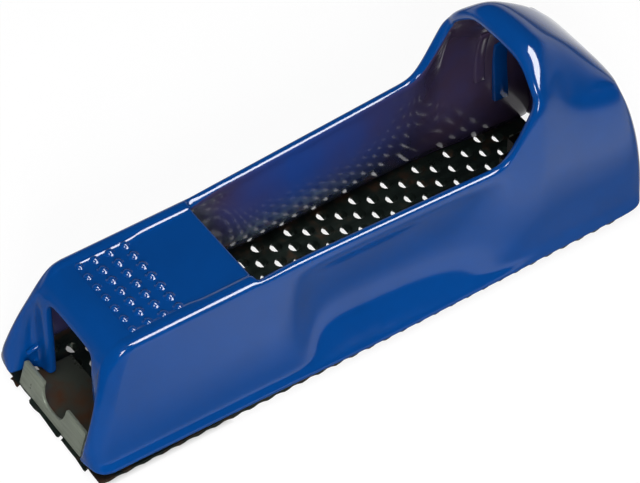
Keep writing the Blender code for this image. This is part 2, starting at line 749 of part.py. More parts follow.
def washers(plain, spring):
    """Plain washer on the boss and a split spring washer under the screw's head."""
    ring = ring_along_x(WASHER_X, WASHER_X + WASHER_SHEET, BORE_RADIUS, WASHER_DIAMETER / 2)
    shade_round(make_object("flat_washer", ring, plain))
    outer = SPRING_WASHER_DIAMETER / 2
    turn = 2 * pi - SPRING_WASHER_SLIT / outer
    split = ring_along_x(SPRING_WASHER_X, SPRING_WASHER_X + SPRING_WASHER_SHEET, BORE_RADIUS, outer, turn)
    shade_round(make_object("lock_washer", split, spring))


def main():
    """Clear the scene and build every piece."""
    for obj in list(bpy.data.objects):
        bpy.data.objects.remove(obj, do_unlink=True)
    paint = make_material("blue_paint", (0.006, 0.045, 0.30), 0.16, 0.0)
    body_casting(paint)
    rasp_blade(make_material("blade_steel", (0.07, 0.085, 0.08), 0.34, 0.9))
    front_clip(make_material("front_clip_steel", (0.50, 0.53, 0.48), 0.38, 0.8))
    rear_clip(make_material("rear_clip_steel", (0.45, 0.47, 0.44), 0.4, 0.8))
    tension_hook(make_material("hook_steel", (0.40, 0.41, 0.40), 0.42, 0.9))
    tension_nut(make_material("nut_zinc", (0.60, 0.60, 0.58), 0.35, 0.9))
    tension_screw(make_material("screw_zinc", (0.62, 0.62, 0.60), 0.3, 0.9))
    washers(
        make_material("washer_zinc", (0.58, 0.58, 0.57), 0.35, 0.9),
        make_material("spring_steel", (0.16, 0.16, 0.17), 0.4, 0.9),
    )


main()
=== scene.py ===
"""Looks of a block rasp: enamelled casting, perforated blade, clips, heel tensioner and studio."""

from math import ceil, copysign, cos, pi, radians, sin

import bmesh
import bpy
from bpy.props import FloatProperty, FloatVectorProperty, PointerProperty
from mathutils import Matrix, Vector


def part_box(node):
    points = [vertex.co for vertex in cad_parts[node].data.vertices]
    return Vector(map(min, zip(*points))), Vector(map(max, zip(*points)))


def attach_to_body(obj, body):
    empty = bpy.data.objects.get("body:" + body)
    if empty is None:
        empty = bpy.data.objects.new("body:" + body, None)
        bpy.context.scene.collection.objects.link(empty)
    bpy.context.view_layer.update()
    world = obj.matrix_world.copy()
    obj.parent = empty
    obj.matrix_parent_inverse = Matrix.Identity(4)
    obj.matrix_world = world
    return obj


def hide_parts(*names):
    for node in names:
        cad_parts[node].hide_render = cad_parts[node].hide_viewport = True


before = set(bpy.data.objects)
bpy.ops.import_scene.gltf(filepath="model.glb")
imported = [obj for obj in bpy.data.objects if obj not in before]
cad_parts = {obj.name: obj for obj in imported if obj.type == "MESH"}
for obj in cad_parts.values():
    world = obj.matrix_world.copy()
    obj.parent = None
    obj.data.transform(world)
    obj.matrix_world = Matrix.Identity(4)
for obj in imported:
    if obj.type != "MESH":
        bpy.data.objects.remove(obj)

bl_info = {
    "name": "Block Rasp",
    "version": (1, 0, 0),
    "blender": (4, 5, 0),
    "location": "View3D > Sidebar > Rasp",
    "description": "Builds the finished pieces of a block rasp round its solid model",
    "category": "Add Mesh",
}

MM = 0.001
CLOSE = 0.001

CAST_LOW, CAST_HIGH = (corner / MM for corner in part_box("body_casting"))
BLADE_LOW, BLADE_HIGH = (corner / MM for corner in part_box("rasp_blade"))
CLIP_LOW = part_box("front_clip")[0] / MM

# Casting, in millimetres
HEEL_X = CAST_HIGH.x
TOE_X = -HEEL_X
SKIRT_Z = CAST_LOW.z
BASE_WIDTH_TOE = 43.4
BASE_WIDTH_HEEL = 44.6
RIM_WIDTH_TOE = 31.2
RIM_WIDTH_HEEL = 37.2
BROW_X = TOE_X + 11.2
WINDOW_X = BROW_X + 35.9
ARCH_X = HEEL_X - 32.9
SWEEP_X = ARCH_X - 10.8
CROWN_X = ARCH_X + 3.8
FOOT_REACH = 14.4
TOE_ROUNDING = 2.0
TOE_ROUND_HEIGHT = 7.0
BROW_ROUNDING = 5.6
TOE_LIFT = 1.8
SEAT_CUT = 0.4
RIM_HEIGHT = 33.5
RIM_RISE = 1.0
PAD_Z = 32.8
SHOULDER_HEIGHT = 49.6
HOOD_SHOULDER_HEIGHT = 44.6
ARCH_HEIGHT = 56.2
CROWN_HEIGHT = 59.9
HOOD_FLAT = 2.6
HOOD_FLAT_RUN = 25.5
ARCH_RUN = 8.0
ARCH_BOW = (0.0, 0.1, 0.2, 0.3, 0.4, 0.45, 0.45)
HEEL_STRAIGHT = 9.0
HEEL_BEND = 1.97
HEEL_EDGE_HEIGHT = 37.4
HEEL_ROUNDING = 2.4
HEEL_SHOULDER_HEIGHT = 40.6
HOOD_SHOULDER_WIDTH = 35.4
HEEL_SHOULDER_WIDTH = 32.0
BEAD_FLARE = 0.9
SCALLOP_X = TOE_X + 54.5
SCALLOP_RUN_IN = 6.0
SCALLOP_FADE_X = 12.0
SCALLOP_FOOT = (0.05, 0.3)
SCALLOP_BROW = (0.62, 0.95)
MOUTH_WIDTH = 18.8
MOUTH_HEIGHT = 29.0
LUG_WIDTH = 27.8
FOOT_GAP = 0.9
FOOT_FLARE = 9.5
FOOT_KNEE_HEIGHT = 15.0
CORNER_BULGE = 0.64
CORNER_TUCK = 0.6
POST_HALF = 15.8
CORNER_BACK = 0.8
RECESS_X = TOE_X + 16.5
RECESS_JOG_X = TOE_X + 32.5
RECESS_HALF = 11.7
RECESS_STEP = 0.6
RECESS_EDGE = 0.22
FOOT_THICKENING = 2.6
THICK_FROM_X = 32.0
THICK_FULL_X = 67.0
THICK_ROWS = (0.2, 0.75)
ARCH_BAND = 0.6
ARCH_BAND_RUN = 12.0
ARCH_BAND_ROWS = (0.75, 1.0)

# Cage of the casting: shares up a wall, along each stretch, and across the top from wall to middle
WALL_ROWS = (0.0, 0.035, 0.09, 0.16, 0.32, 0.55, 0.78, 0.91, 1.0)
MOUTH_ROW = 7
PAD_STATIONS = (0.11, 0.127, 0.148, 0.36, 0.57, 0.6, 0.8, 0.96, 1.0)
SIDE_STATIONS = (0.25, 0.5, 0.76, 0.93, 1.0)
SWEEP_STATIONS = (0.22, 0.45, 0.66, 0.84, 1.0)
HOOD_STATIONS = (0.14, 0.36, 0.62, 0.87)
RIM_COLUMNS = (0.0, 0.95, 1.2)
HOOD_COLUMNS = (1.0, 0.94, 0.84, 0.7, 0.5, 0.26, 0.0)
ARCH_DOME = (0.0, 0.24, 0.51, 0.725, 0.965, 0.985, 1.0)
HOOD_DOME = (0.0, 0.1, 0.3, 0.6, 0.92, 0.98, 1.0)
HEEL_COLUMNS = (1.0, 0.88, 0.76, 0.62, 0.45, 0.25, 0.0)
FOOT_COLUMNS = (0.0, 0.0, 1.0, 0.12, 0.04, 0.0, 0.0)
COLUMNS = 2 * (len(HOOD_COLUMNS) - 1)
CAGE_LEVELS = 3
FOOT_BEND = 1.3
SWEEP_END = 0.81
HOOD_SIDE_BEND = 5.5
HOOD_SIDE_SHARE = 0.9
HEEL_SIDE_BEND = 3.0
HEEL_SIDE_SHARE = 0.45

# Ribs inside the hood: place, width, lower and upper end; ledges inside the front feet
HOOD_RIBS = ((61.2, 4.2, 14.0, 32.0), (55.2, 3.0, 22.0, 38.0))
RIB_RISE = 0.9
RIB_DEPTH = 2.4
RIB_EDGE = 0.5
LEDGES = (((-73.9, 10.3), (-67.4, 12.1)), ((-72.3, 6.9), (-67.0, 8.8)))
LEDGE_Y = 13.7
LEDGE_RADIUS = 0.7
LEDGE_NOSE = ((0.0, 0.0), (0.12, 0.3), (0.45, LEDGE_RADIUS))

# Grip domes: their places, then a profile in shares of a dome's radius and rise
DOME_ROWS = 4
DOME_COLUMNS = 7
DOME_X = TOE_X + 16.8
DOME_PITCH_X = 3.93
DOME_PITCH_Y = 3.73
DOME_CAP = 0.72
DOME_CAP_FOOT = 0.12
DOME_CAP_ANGLES = (18.0, 36.0, 54.0, 70.0)
DOME_FILLET = ((0.82, 0.16), (1.0, 0.03), (1.12, -0.12))
DOME_STEPS = 18

# Blade
BLADE_HALF = BLADE_HIGH.y + 0.9
BLADE_END = BLADE_HIGH.x + 2.5
TOOTH_ROWS = 9
TOOTH_PITCH = 9.33
TOOTH_STEP_X = 3.8
TOOTH_STEP_Y = BLADE_HIGH.y / TOOTH_ROWS
LATTICE_SHIFT = Vector((3.05, -0.57, 0.0))
SIDE_STEP = TOOTH_PITCH / 8
BLADE_MARGIN = 1.2
TORN_CORNER = 2.8
WHOLE_CELL = 0.999
CELL_INSET = 0.5
HOLE_STEPS = 3
TOOTH_TURN = radians(105.0)
LIP_BOW = -0.85
SIDE_DROP = 0.78
SIDE_WAVE = 0.22
SIDE_DROP_TOE = 0.55
FRONT_TABS = ((-16.4, -6.0), (-4.8, 8.0), (13.2, 15.9))
TAB_REACH = 0.8
TAB_DROP = 0.5
TAB_WAVE = 5.3
TAB_RAGGED = 0.25

# Front clip and hook plate
CLIP_WIDTH = 26.4
CLIP_LIP_HEIGHT = 6.4
CLIP_LEAN = radians(17.0)
CLIP_REACH = 13.3
CLIP_SETBACK = 0.5
CLIP_CORNER = 0.6
CLIP_EDGE = 0.22
NOTCH_WIDTH = 9.8
NOTCH_DEPTH = 4.8
NOTCH_SQUARE = 0.7
NOTCH_STEPS = 12
HOOK_HALF = 4.6
HOOK_TOP_CUT = 1.6
HOOK_CORNER = 2.2
HOOK_EDGE = 0.18

# Screw passage
SCREW_Z = 12.5
BOSS_X = 62.6
BOSS_END_X = 75.8
BOSS_RADIUS = 6.5
BOSS_CHAMFER = 0.5
SEAT_X = 70.6
BORE_RADIUS = 2.3
RECESS_RADIUS = 4.6
RECESS_FLARE = 0.7
RECESS_FLARE_X = HEEL_X - 1.1
RECESS_END_X = HEEL_X + 2.0
SCREW_STEPS = 48

# Camera: directions, then metres, then millimetres on the sensor
VIEW_TURN = radians(34.4)
VIEW_DOWN = radians(46.5)
VIEW_TARGET = Vector((-0.00637, -0.00424, 0.0224))
VIEW_DISTANCE = 0.658
SENSOR_WIDTH = 36.0
LENS_PER_WIDTH = 2900.0 / 640.0

# Studio: the floor's radius in millimetres, places in metres, and shares of its white
FLOOR_RADIUS = 4000.0
FLOOR_GLOW = 0.86
FLOOR_DIM = 0.18
# Line beside the near side where reflections see a painted shadow on the floor
SHADOW_STRIP_Y = -0.030
TOE_PATCH_X = -0.0585
LAMP_TARGET = Vector((0.0, 0.0, 0.02))

# Range of a noise factor that carries most of its variation
NOISE_RANGE = (0.3, 0.7)


def size(name, description, default):
    """Length that a user may change, in metres."""
    return FloatProperty(name=name, description=description, default=default, min=0.0, unit="LENGTH")


def colour(name, description, default):
    """Colour that a user may change."""
    return FloatVectorProperty(
        name=name, description=description, default=default, size=3, min=0.0, max=1.0, subtype="COLOR"
    )


class RaspSizes(bpy.types.PropertyGroup):
    """Sizes of the finished pieces."""

    wall: size("Wall", "Thickness of the casting's walls", 0.0025)
    scallop: size("Scallop", "Depth of the finger scallops in the sides", 0.0042)
    pad_recess: size("Pad recess", "Depth of the sunken panel in the thumb pad", 0.00045)
    dome_radius: size("Dome radius", "Radius of a grip dome at its foot", 0.00135)
    dome_rise: size("Dome rise", "Height of a grip dome over the pad", 0.00085)
    blade_sheet: size("Blade sheet", "Thickness of the blade", 0.0006)
    hole_radius: size("Hole radius", "Radius of the punched holes", 0.00155)
    tooth_drop: size("Tooth drop", "How far a tooth is pressed down below the blade's web", 0.0017)
    clip_sheet: size("Clip sheet", "Thickness of the front clip", 0.0009)


class RaspColours(bpy.types.PropertyGroup):
    """Colours of the finishes and the studio."""

    enamel: colour("Enamel", "Blue enamel on the casting", (0.0004, 0.048, 0.222))
    inside: colour("Inside", "Thin enamel inside the casting", (0.016, 0.055, 0.26))
    # Painted shade: the brownish dark that the inside takes under the hood, under the pad and by the blade.
    inside_shade: colour("Primer", "Brown primer that shows through inside", (0.055, 0.036, 0.075))
    blade: colour("Blade", "Dark steel of the blade", (0.020, 0.030, 0.025))
    rust: colour("Rust", "Rust on the blade's edges", (0.12, 0.045, 0.018))
    clip: colour("Clip", "Bare steel of the clips", (0.25, 0.28, 0.225))
    zinc: colour("Zinc", "Zinc plate on screw, nut and washer", (0.62, 0.62, 0.60))
    spring: colour("Spring steel", "Dark steel of the lock washer", (0.16, 0.16, 0.17))
    # Painted shade: the dark colour of nut and screw where they reach into the hood's shadow.
    hardware_shade: colour("Grease", "Dark grease on nut and thread", (0.022, 0.018, 0.014))
    floor: colour("Floor", "Pale studio floor", (0.86, 0.86, 0.86))


def ease(value, start, end):
    """Smooth step from 0 at start to 1 at end."""
    share = share_between(value, start, end)
    return share * share * (3.0 - 2.0 * share)


def share_between(value, start, end):
    """Straight step from 0 at start to 1 at end."""
    return min(max((value - start) / (end - start), 0.0), 1.0)


def mix(first, second, share):
    """Value that lies a share of the way from first to second."""
    return first * (1.0 - share) + second * share


def once(items):
    """Each of the items once, in the order of their first showing."""
    return list(dict.fromkeys(items))


def picked(items, kind):
    """The elements of one kind from a mixed list of mesh elements."""
    return [item for item in items if isinstance(item, kind)]


def make_piece(name, bm, *materials):
    """Turn a bmesh in millimetres into a named object in metres."""
    bmesh.ops.scale(bm, vec=(MM, MM, MM), verts=bm.verts)
    mesh = bpy.data.meshes.new(name)
    bm.to_mesh(mesh)
    bm.free()
    for material in materials:
        mesh.materials.append(material)
    obj = bpy.data.objects.new(name, mesh)
    bpy.context.scene.collection.objects.link(obj)
    return obj


def bake(obj, angle=35.0):
    """Apply every modifier of a piece and shade it smooth up to an angle."""
    depsgraph = bpy.context.evaluated_depsgraph_get()
    baked = bpy.data.meshes.new_from_object(obj.evaluated_get(depsgraph), depsgraph=depsgraph)
    obj.modifiers.clear()
    obj.data = baked
    baked.name = obj.name
    baked.shade_smooth()
    baked.set_sharp_from_angle(angle=radians(angle))


def attach(obj, body, slot, *nodes):
    """Let a piece ride on a body and stand for its solid nodes. The slot argument is not used."""
    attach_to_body(obj, body)
    if nodes:
        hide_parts(*nodes)


def combine(target, helper, operation):
    """Exact Boolean of a helper on a target."""
    modifier = target.modifiers.new(operation.lower(), "BOOLEAN")
    modifier.object = helper
    modifier.operation = operation
    modifier.solver = "EXACT"


def sheet_modifier(obj, thickness, offset):
    """Give a sheet its thickness."""
    shell = obj.modifiers.new("sheet", "SOLIDIFY")
    shell.thickness = thickness
    shell.offset = offset
    shell.use_even_offset = True
    return shell


def edge_modifier(obj, width, segments):
    """Round the sharp edges of a piece."""
    edges = obj.modifiers.new("edges", "BEVEL")
    edges.width = width * MM
    edges.segments = segments
    edges.limit_method = "ANGLE"


def finish_node(name, material):
    """Give a solid that is shown as it is its finish."""
    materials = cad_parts[name].data.materials
    materials.clear()
    materials.append(material)


def add_block(bm, low, high):
    """Box between two corners."""
    low, high = Vector(low), Vector(high)
    place = Matrix.Translation((low + high) / 2) @ Matrix.Diagonal((*(high - low), 1.0))
    bmesh.ops.create_cube(bm, size=1.0, matrix=place)


def block_cage(cells):
    """Block of unit cells, cut at every whole number along X, Y and Z."""
    bm = bmesh.new()
    add_block(bm, (0.0, 0.0, 0.0), cells)
    for axis, count in enumerate(cells):
        normal = Vector((0.0, 0.0, 0.0))
        normal[axis] = 1.0
        for step in range(1, count):
            geom = bm.verts[:] + bm.edges[:] + bm.faces[:]
            bmesh.ops.bisect_plane(bm, geom=geom, plane_co=normal * step, plane_no=normal)
    return bm


def spin_line(bm, points, centre, axis, steps):
    """Turn a line of points fully about an axis, and give the line's corners."""
    verts = [bm.verts.new(point) for point in points]
    edges = [bm.edges.new(pair) for pair in zip(verts, verts[1:])]
    bmesh.ops.spin(
        bm, geom=verts + edges, cent=centre, axis=axis, angle=2 * pi, steps=steps, use_merge=True
    )
    return verts


def spun_profile(line, steps):
    """Closed body of revolution about the X axis, from places along it and radii."""
    bm = bmesh.new()
    points = [(x, 0.0, radius) for x, radius in line]
    spin_line(bm, points, (0.0, 0.0, 0.0), (1.0, 0.0, 0.0), steps)
    bmesh.ops.remove_doubles(bm, verts=bm.verts, dist=CLOSE)
    bmesh.ops.recalc_face_normals(bm, faces=bm.faces)
    return bm


def oval(share):
    """Oval sweep from 1 at share 0 down to 0 at share 1."""
    return (1.0 - share**HEEL_BEND) ** (1.0 / HEEL_BEND)


def heel_x(z):
    """Centre line of the heel: upright, then an oval sweep up to the crown."""
    return CROWN_X + (HEEL_X - CROWN_X) * oval(share_between(z, HEEL_STRAIGHT, CROWN_HEIGHT))


class CastingCage:
    """Places of the casting's cage corners, in millimetres."""

    def __init__(self, sizes):
        self.wall = sizes.wall / MM
        self.scallop_depth = sizes.scallop / MM
        self.recess = sizes.pad_recess / MM
        pad = [mix(BROW_X, WINDOW_X, share) for share in PAD_STATIONS]
        side = [SCALLOP_X, SCALLOP_X + SCALLOP_RUN_IN]
        side += [mix(side[-1], SWEEP_X, share) for share in SIDE_STATIONS]
        sweep = [mix(SWEEP_X, ARCH_X, share) for share in SWEEP_STATIONS]
        hood = [mix(ARCH_X, HEEL_X, share) for share in HOOD_STATIONS]
        self.stations = [TOE_X] + pad + side + sweep + hood + [HEEL_X]
        self.last = len(self.stations) - 1
        self.window = (self.stations.index(WINDOW_X), self.stations.index(ARCH_X))
        self.heel_edge_x = heel_x(HEEL_EDGE_HEIGHT)

    def station_x(self, i, row):
        """Place of a cage line at a share of the wall's height; the hood's lines lean with the heel."""
        if self.stations[i] <= ARCH_X:
            return self.stations[i]
        back = heel_x(mix(SKIRT_Z, HEEL_EDGE_HEIGHT, row))
        return mix(ARCH_X, back, share_between(self.stations[i], ARCH_X, HEEL_X))

    def skirt_z(self, x):
        """Height of the wall's lower edge, lifted at the toe."""
        return SKIRT_Z - SEAT_CUT + (TOE_LIFT + SEAT_CUT) * (1.0 - share_between(x, TOE_X, 0.0))

    def crown_z(self, x):
        """Centre line of the hood's top, from the arch over the crown and down to the heel."""
        if x < CROWN_X:
            return mix(ARCH_HEIGHT, CROWN_HEIGHT, ease(x, ARCH_X, CROWN_X))
        fall = oval(share_between(x, CROWN_X, HEEL_X))
        sweep = HEEL_STRAIGHT + (CROWN_HEIGHT - HEEL_STRAIGHT) * fall
        flat = share_between(x, CROWN_X, CROWN_X + HOOD_FLAT_RUN)
        return sweep - HOOD_FLAT * 4.0 * flat * (1.0 - flat)

    def shoulder_z(self, x):
        """Height of a wall's top: the rim, its sweep up to the arch, or the hood's shoulder."""
        rim = RIM_HEIGHT + RIM_RISE * share_between(x, WINDOW_X, SWEEP_X)
        if x <= ARCH_X:
            rise = ease(SWEEP_END * share_between(x, SWEEP_X, ARCH_X), 0.0, 1.0)
            return mix(rim, SHOULDER_HEIGHT, rise / ease(SWEEP_END, 0.0, 1.0))
        top = mix(SHOULDER_HEIGHT, HOOD_SHOULDER_HEIGHT, ease(x, ARCH_X, ARCH_X + ARCH_RUN))
        return mix(top, HEEL_SHOULDER_HEIGHT, share_between(x, CROWN_X, self.heel_edge_x))

    def base_half(self, x):
        """Half the width of the wall's lower edge."""
        return mix(BASE_WIDTH_TOE, BASE_WIDTH_HEEL, share_between(x, BROW_X, 0.0)) / 2

    def shoulder_half(self, x):
        """Half the width at a wall's top."""
        rim = mix(RIM_WIDTH_TOE, RIM_WIDTH_HEEL, share_between(x, WINDOW_X, SWEEP_X))
        hood = mix(rim, HOOD_SHOULDER_WIDTH, ease(x, SWEEP_X, ARCH_X))
        return mix(hood, HEEL_SHOULDER_WIDTH, share_between(x, CROWN_X, HEEL_X)) / 2

    def scallop(self, x, row):
        """How far the finger scallop sets the wall in."""
        along = ease(x, SCALLOP_X, SCALLOP_X + SCALLOP_RUN_IN) * (1.0 - ease(x, SCALLOP_FADE_X, ARCH_X))
        across = ease(row, *SCALLOP_FOOT) * (1.0 - ease(row, *SCALLOP_BROW))
        return self.scallop_depth * along * across

    def wall_half(self, x, row):
        """Half the width of the casting at a share of its wall's height."""
        hooded = share_between(x, SWEEP_X, ARCH_X)
        lean = mix(row, mix(row, row**HOOD_SIDE_BEND, HOOD_SIDE_SHARE), hooded)
        flare = BEAD_FLARE * (1.0 - share_between(row, WALL_ROWS[1], WALL_ROWS[2]))
        return mix(self.base_half(x), self.shoulder_half(x), lean) + flare - self.scallop(x, row)

    def corner_shift(self, z):
        """How far the front corner stands ahead of the brow: a bulged slope down to the foot."""
        slope = FOOT_REACH * share_between(RIM_HEIGHT - z, 0.0, RIM_HEIGHT - SKIRT_Z) ** CORNER_BULGE
        return slope - TOE_ROUNDING * (1.0 - ease(z, SKIRT_Z, SKIRT_Z + TOE_ROUND_HEIGHT))

    def cheek_shift(self, z, foot):
        """How far the front wall stands ahead of the brow: upright at the mouth, flared at a foot."""
        below = share_between(FOOT_KNEE_HEIGHT - z, 0.0, FOOT_KNEE_HEIGHT - SKIRT_Z)
        upright = (FOOT_REACH - FOOT_FLARE) * ease(RIM_HEIGHT - z, 0.0, BROW_ROUNDING)
        return upright + FOOT_FLARE * foot * below**FOOT_BEND

    def top_columns(self, x):
        """Places across the top for the cage's columns, from a wall to the middle."""
        edge = self.shoulder_half(x)
        if x >= ARCH_X:
            return [edge * share for share in HOOD_COLUMNS]
        rim = [edge - self.wall * share for share in RIM_COLUMNS]
        line = RECESS_HALF + RECESS_STEP * (x > RECESS_JOG_X)
        return rim + [line + RECESS_EDGE, line - RECESS_EDGE, MOUTH_WIDTH / 2, 0.0]

    def top_z(self, x, column):
        """Height of the top at a column: the pad with rims and sunken panel, or the hood's dome."""
        if x >= ARCH_X:
            dome = mix(ARCH_DOME[column], HOOD_DOME[column], ease(x, ARCH_X, ARCH_X + ARCH_RUN))
            return mix(self.shoulder_z(x), self.crown_z(x), dome)
        if column < 2:
            return RIM_HEIGHT
        sunk = column > 3 and x > RECESS_X
        return PAD_Z if sunk else PAD_Z + self.recess

    def front_point(self, column, row):
        """Corner on the front wall, with its mouth, lugs and feet."""
        lug = LUG_WIDTH / 2
        mouth = MOUTH_WIDTH / 2
        outer = self.wall_half(TOE_X, row) - CORNER_TUCK
        low = (outer, POST_HALF, lug + FOOT_GAP, lug, (lug + mouth) / 2, mouth, 0.0)[column]
        y = mix(low, self.top_columns(BROW_X)[column], ease(row, 0.5, 1.0))
        top = MOUTH_HEIGHT if row < 1.0 else self.top_z(BROW_X, column)
        z = mix(self.skirt_z(TOE_X), top, row / WALL_ROWS[MOUTH_ROW] if row < 1.0 else 1.0)
        if column == 0:
            shift = self.corner_shift(z) - CORNER_BACK
        elif column == 1:
            shift = self.corner_shift(z)
        else:
            shift = self.cheek_shift(z, FOOT_COLUMNS[column])
        return BROW_X - shift, y, z

    def rear_point(self, column, row):
        """Corner on the heel wall."""
        across = HEEL_COLUMNS[column]
        z = mix(SKIRT_Z, mix(HEEL_EDGE_HEIGHT, HEEL_SHOULDER_HEIGHT, across**2), row)
        lean = mix(row, row**HEEL_SIDE_BEND, HEEL_SIDE_SHARE)
        half = mix(self.base_half(HEEL_X) - CORNER_TUCK, HEEL_SHOULDER_WIDTH / 2, lean)
        return heel_x(z) - HEEL_ROUNDING * across**4, across * half, z

    def point(self, i, j, k):
        """Place of one corner of the cage."""
        side = -1.0 if j < COLUMNS // 2 else 1.0
        column = min(j, COLUMNS - j)
        row = WALL_ROWS[k]
        x = self.station_x(i, row)
        if i == 0:
            x, y, z = self.front_point(column, row)
        elif i == self.last:
            x, y, z = self.rear_point(column, row)
        elif row == 1.0 and column > 0:
            y = self.top_columns(x)[column]
            z = self.top_z(x, column)
        else:
            z = mix(self.skirt_z(x), self.shoulder_z(self.station_x(i, 1.0)), row)
            y = self.wall_half(x, row)
            x -= self.corner_shift(z) * (1.0 - ease(x, BROW_X, WINDOW_X))
        if i == self.window[1] and row == 1.0:
            x -= ARCH_BOW[column]
        return x, side * y, z

    def thickness(self, x, z):
        """Wall thickness: the heel's foot and the band round the arch are thicker inside."""
        row = share_between(z, SKIRT_Z, self.shoulder_z(min(x, self.heel_edge_x)))
        foot = ease(x, THICK_FROM_X, THICK_FULL_X) * (1.0 - ease(row, *THICK_ROWS))
        arch = ease(x, SWEEP_X, ARCH_X) * (1.0 - ease(x, ARCH_X, ARCH_X + ARCH_BAND_RUN))
        band = arch * ease(row, *ARCH_BAND_ROWS)
        return self.wall + FOOT_THICKENING * foot + ARCH_BAND * band

    def open_shell(self):
        """Cage with its underside, window and mouth open."""
        rows = len(WALL_ROWS) - 1
        middle = COLUMNS // 2
        bm = block_cage((self.last, COLUMNS, rows))
        cut = []
        for face in bm.faces:
            place = face.calc_center_median()
            under = place.z < 0.1
            window = place.z > rows - 0.1 and self.window[0] < place.x < self.window[1]
            mouth = place.x < 0.1 and abs(place.y - middle) < 1.0 and place.z < MOUTH_ROW
            if under or window or mouth:
                cut.append(face)
        bmesh.ops.delete(bm, geom=cut, context="FACES")
        for vert in bm.verts:
            vert.co = self.point(*(round(value) for value in vert.co))
        return bm


class Wiring:
    """Shorthand for wiring a node tree that starts from coordinates."""

    def __init__(self, tree, coordinates):
        self.tree = tree
        self.place = self.node("ShaderNodeTexCoord", {}).outputs[coordinates]

    def feed(self, socket, value):
        """Give a socket a constant, or wire an output to it."""
        if hasattr(value, "is_linked"):
            self.tree.links.new(value, socket)
        else:
            socket.default_value = value

    def node(self, kind, inputs, **settings):
        """New node with its settings and inputs."""
        made = self.tree.nodes.new(kind)
        for key, value in settings.items():
            setattr(made, key, value)
        for key, value in inputs.items():
            self.feed(made.inputs[key], value)
        return made

    def math(self, operation, *values):
        """Math node on values or outputs."""
        return self.node("ShaderNodeMath", dict(enumerate(values)), operation=operation).outputs[0]

    def measure(self, operation, *vectors):
        """Number that comes from one or two vectors."""
        made = self.node("ShaderNodeVectorMath", dict(enumerate(vectors)), operation=operation)
        return made.outputs["Value"]

    def axis(self, name):
        """One coordinate of the place."""
        return self.node("ShaderNodeSeparateXYZ", {"Vector": self.place}).outputs[name]

    def away(self, name, centre):
        """Distance along one axis from a centre, to either side."""
        return self.math("ABSOLUTE", self.math("SUBTRACT", self.axis(name), centre))

    def ramp(self, factor, low, high, start=0.0, end=1.0):
        """Clamped linear map of a factor."""
        inputs = {"Value": factor, "From Min": low, "From Max": high, "To Min": start, "To Max": end}
        return self.node("ShaderNodeMapRange", inputs).outputs["Result"]


class Shading(Wiring):
    """Shorthand for wiring one Principled material in object coordinates."""

    def __init__(self, name):
        self.material = bpy.data.materials.new(name)
        self.material.use_nodes = True
        super().__init__(self.material.node_tree, "Object")
        self.shader = self.tree.nodes["Principled BSDF"]

    def stretched(self, scale):
        """Object coordinates scaled along each axis."""
        return self.node("ShaderNodeMapping", {"Vector": self.place, "Scale": scale}).outputs["Vector"]

    def noise(self, scale, detail=4.0, rough=0.55, place=None):
        """Noise over the object, as a factor."""
        inputs = {"Vector": place or self.place, "Scale": scale, "Detail": detail, "Roughness": rough}
        return self.node("ShaderNodeTexNoise", inputs).outputs["Fac"]

    def blend(self, factor, first, second):
        """Mix of two colours, each a colour value or an output."""
        first, second = (end if hasattr(end, "is_linked") else (*end, 1.0) for end in (first, second))
        inputs = {"Factor": factor, 6: first, 7: second}
        return self.node("ShaderNodeMix", inputs, data_type="RGBA").outputs[2]

    def tints(self, factor, base, dark, light):
        """Colour that wanders with a noise between a darker and a lighter tint."""
        return self.blend(self.ramp(factor, *NOISE_RANGE), tinted(base, dark), tinted(base, light))

    def bump(self, height, strength, distance):
        """Bump on the shader's normal."""
        inputs = {"Height": height, "Strength": strength, "Distance": distance}
        self.feed(self.shader.inputs["Normal"], self.node("ShaderNodeBump", inputs).outputs["Normal"])

    def finish(self, base, roughness, constants):
        """Wire the colour and the roughness, set the shader's other sockets and give the material."""
        for key, value in {"Base Color": base, "Roughness": roughness, **constants}.items():
            self.feed(self.shader.inputs[key], value)
        return self.material


def tinted(base, factor):
    """A colour made darker or lighter."""
    return tuple(min(value * factor, 1.0) for value in base)


def enamel_material(colours):
    """Gloss enamel: deep blue with faint flow marks, fine orange peel and dust."""
    shading = Shading("blue_enamel")
    cloudy = shading.tints(shading.noise(55.0, 3.0), colours.enamel, 0.93, 1.07)
    specks = shading.ramp(shading.noise(2600.0, 1.0), 0.72, 0.80)
    base = shading.blend(shading.math("MULTIPLY", specks, 0.12), cloudy, tinted(colours.enamel, 1.8))
    rough = shading.ramp(shading.noise(420.0, 2.0), 0.3, 0.75, 0.07, 0.13)
    shading.bump(shading.noise(380.0, 2.0), 0.04, 0.0003)
    return shading.finish(base, rough, {"Specular IOR Level": 0.5})


def inside_material(colours):
    """Thin enamel inside, with painted shade in a brownish dark under hood and pad and near the blade."""
    shading = Shading("inside_enamel")
    cloud = shading.ramp(shading.noise(90.0, 4.0), *NOISE_RANGE, -0.12, 0.12)
    # Painted shade: the inside darkens to a brownish colour under the hood, under the pad at the window's
    # front and low by the blade; the noise only breaks up its edge.
    back = shading.ramp(shading.axis("X"), -0.002, 0.045)
    under_pad = shading.ramp(shading.axis("X"), -0.002, -0.022)
    low = shading.ramp(shading.axis("Z"), 0.020, 0.004)
    pad_and_blade_shade = shading.math("MULTIPLY", shading.math("MAXIMUM", under_pad, low), 0.8)
    shade_share = shading.math("ADD", shading.math("MAXIMUM", back, pad_and_blade_shade), cloud)
    base = shading.blend(shading.ramp(shade_share, 0.0, 1.0), colours.inside, colours.inside_shade)
    rough = shading.ramp(shading.noise(300.0, 3.0), *NOISE_RANGE, 0.12, 0.2)
    shading.bump(shading.noise(240.0, 3.0), 0.05, 0.0004)
    return shading.finish(base, rough, {"IOR": 1.45, "Coat Weight": 0.15, "Coat Roughness": 0.05})


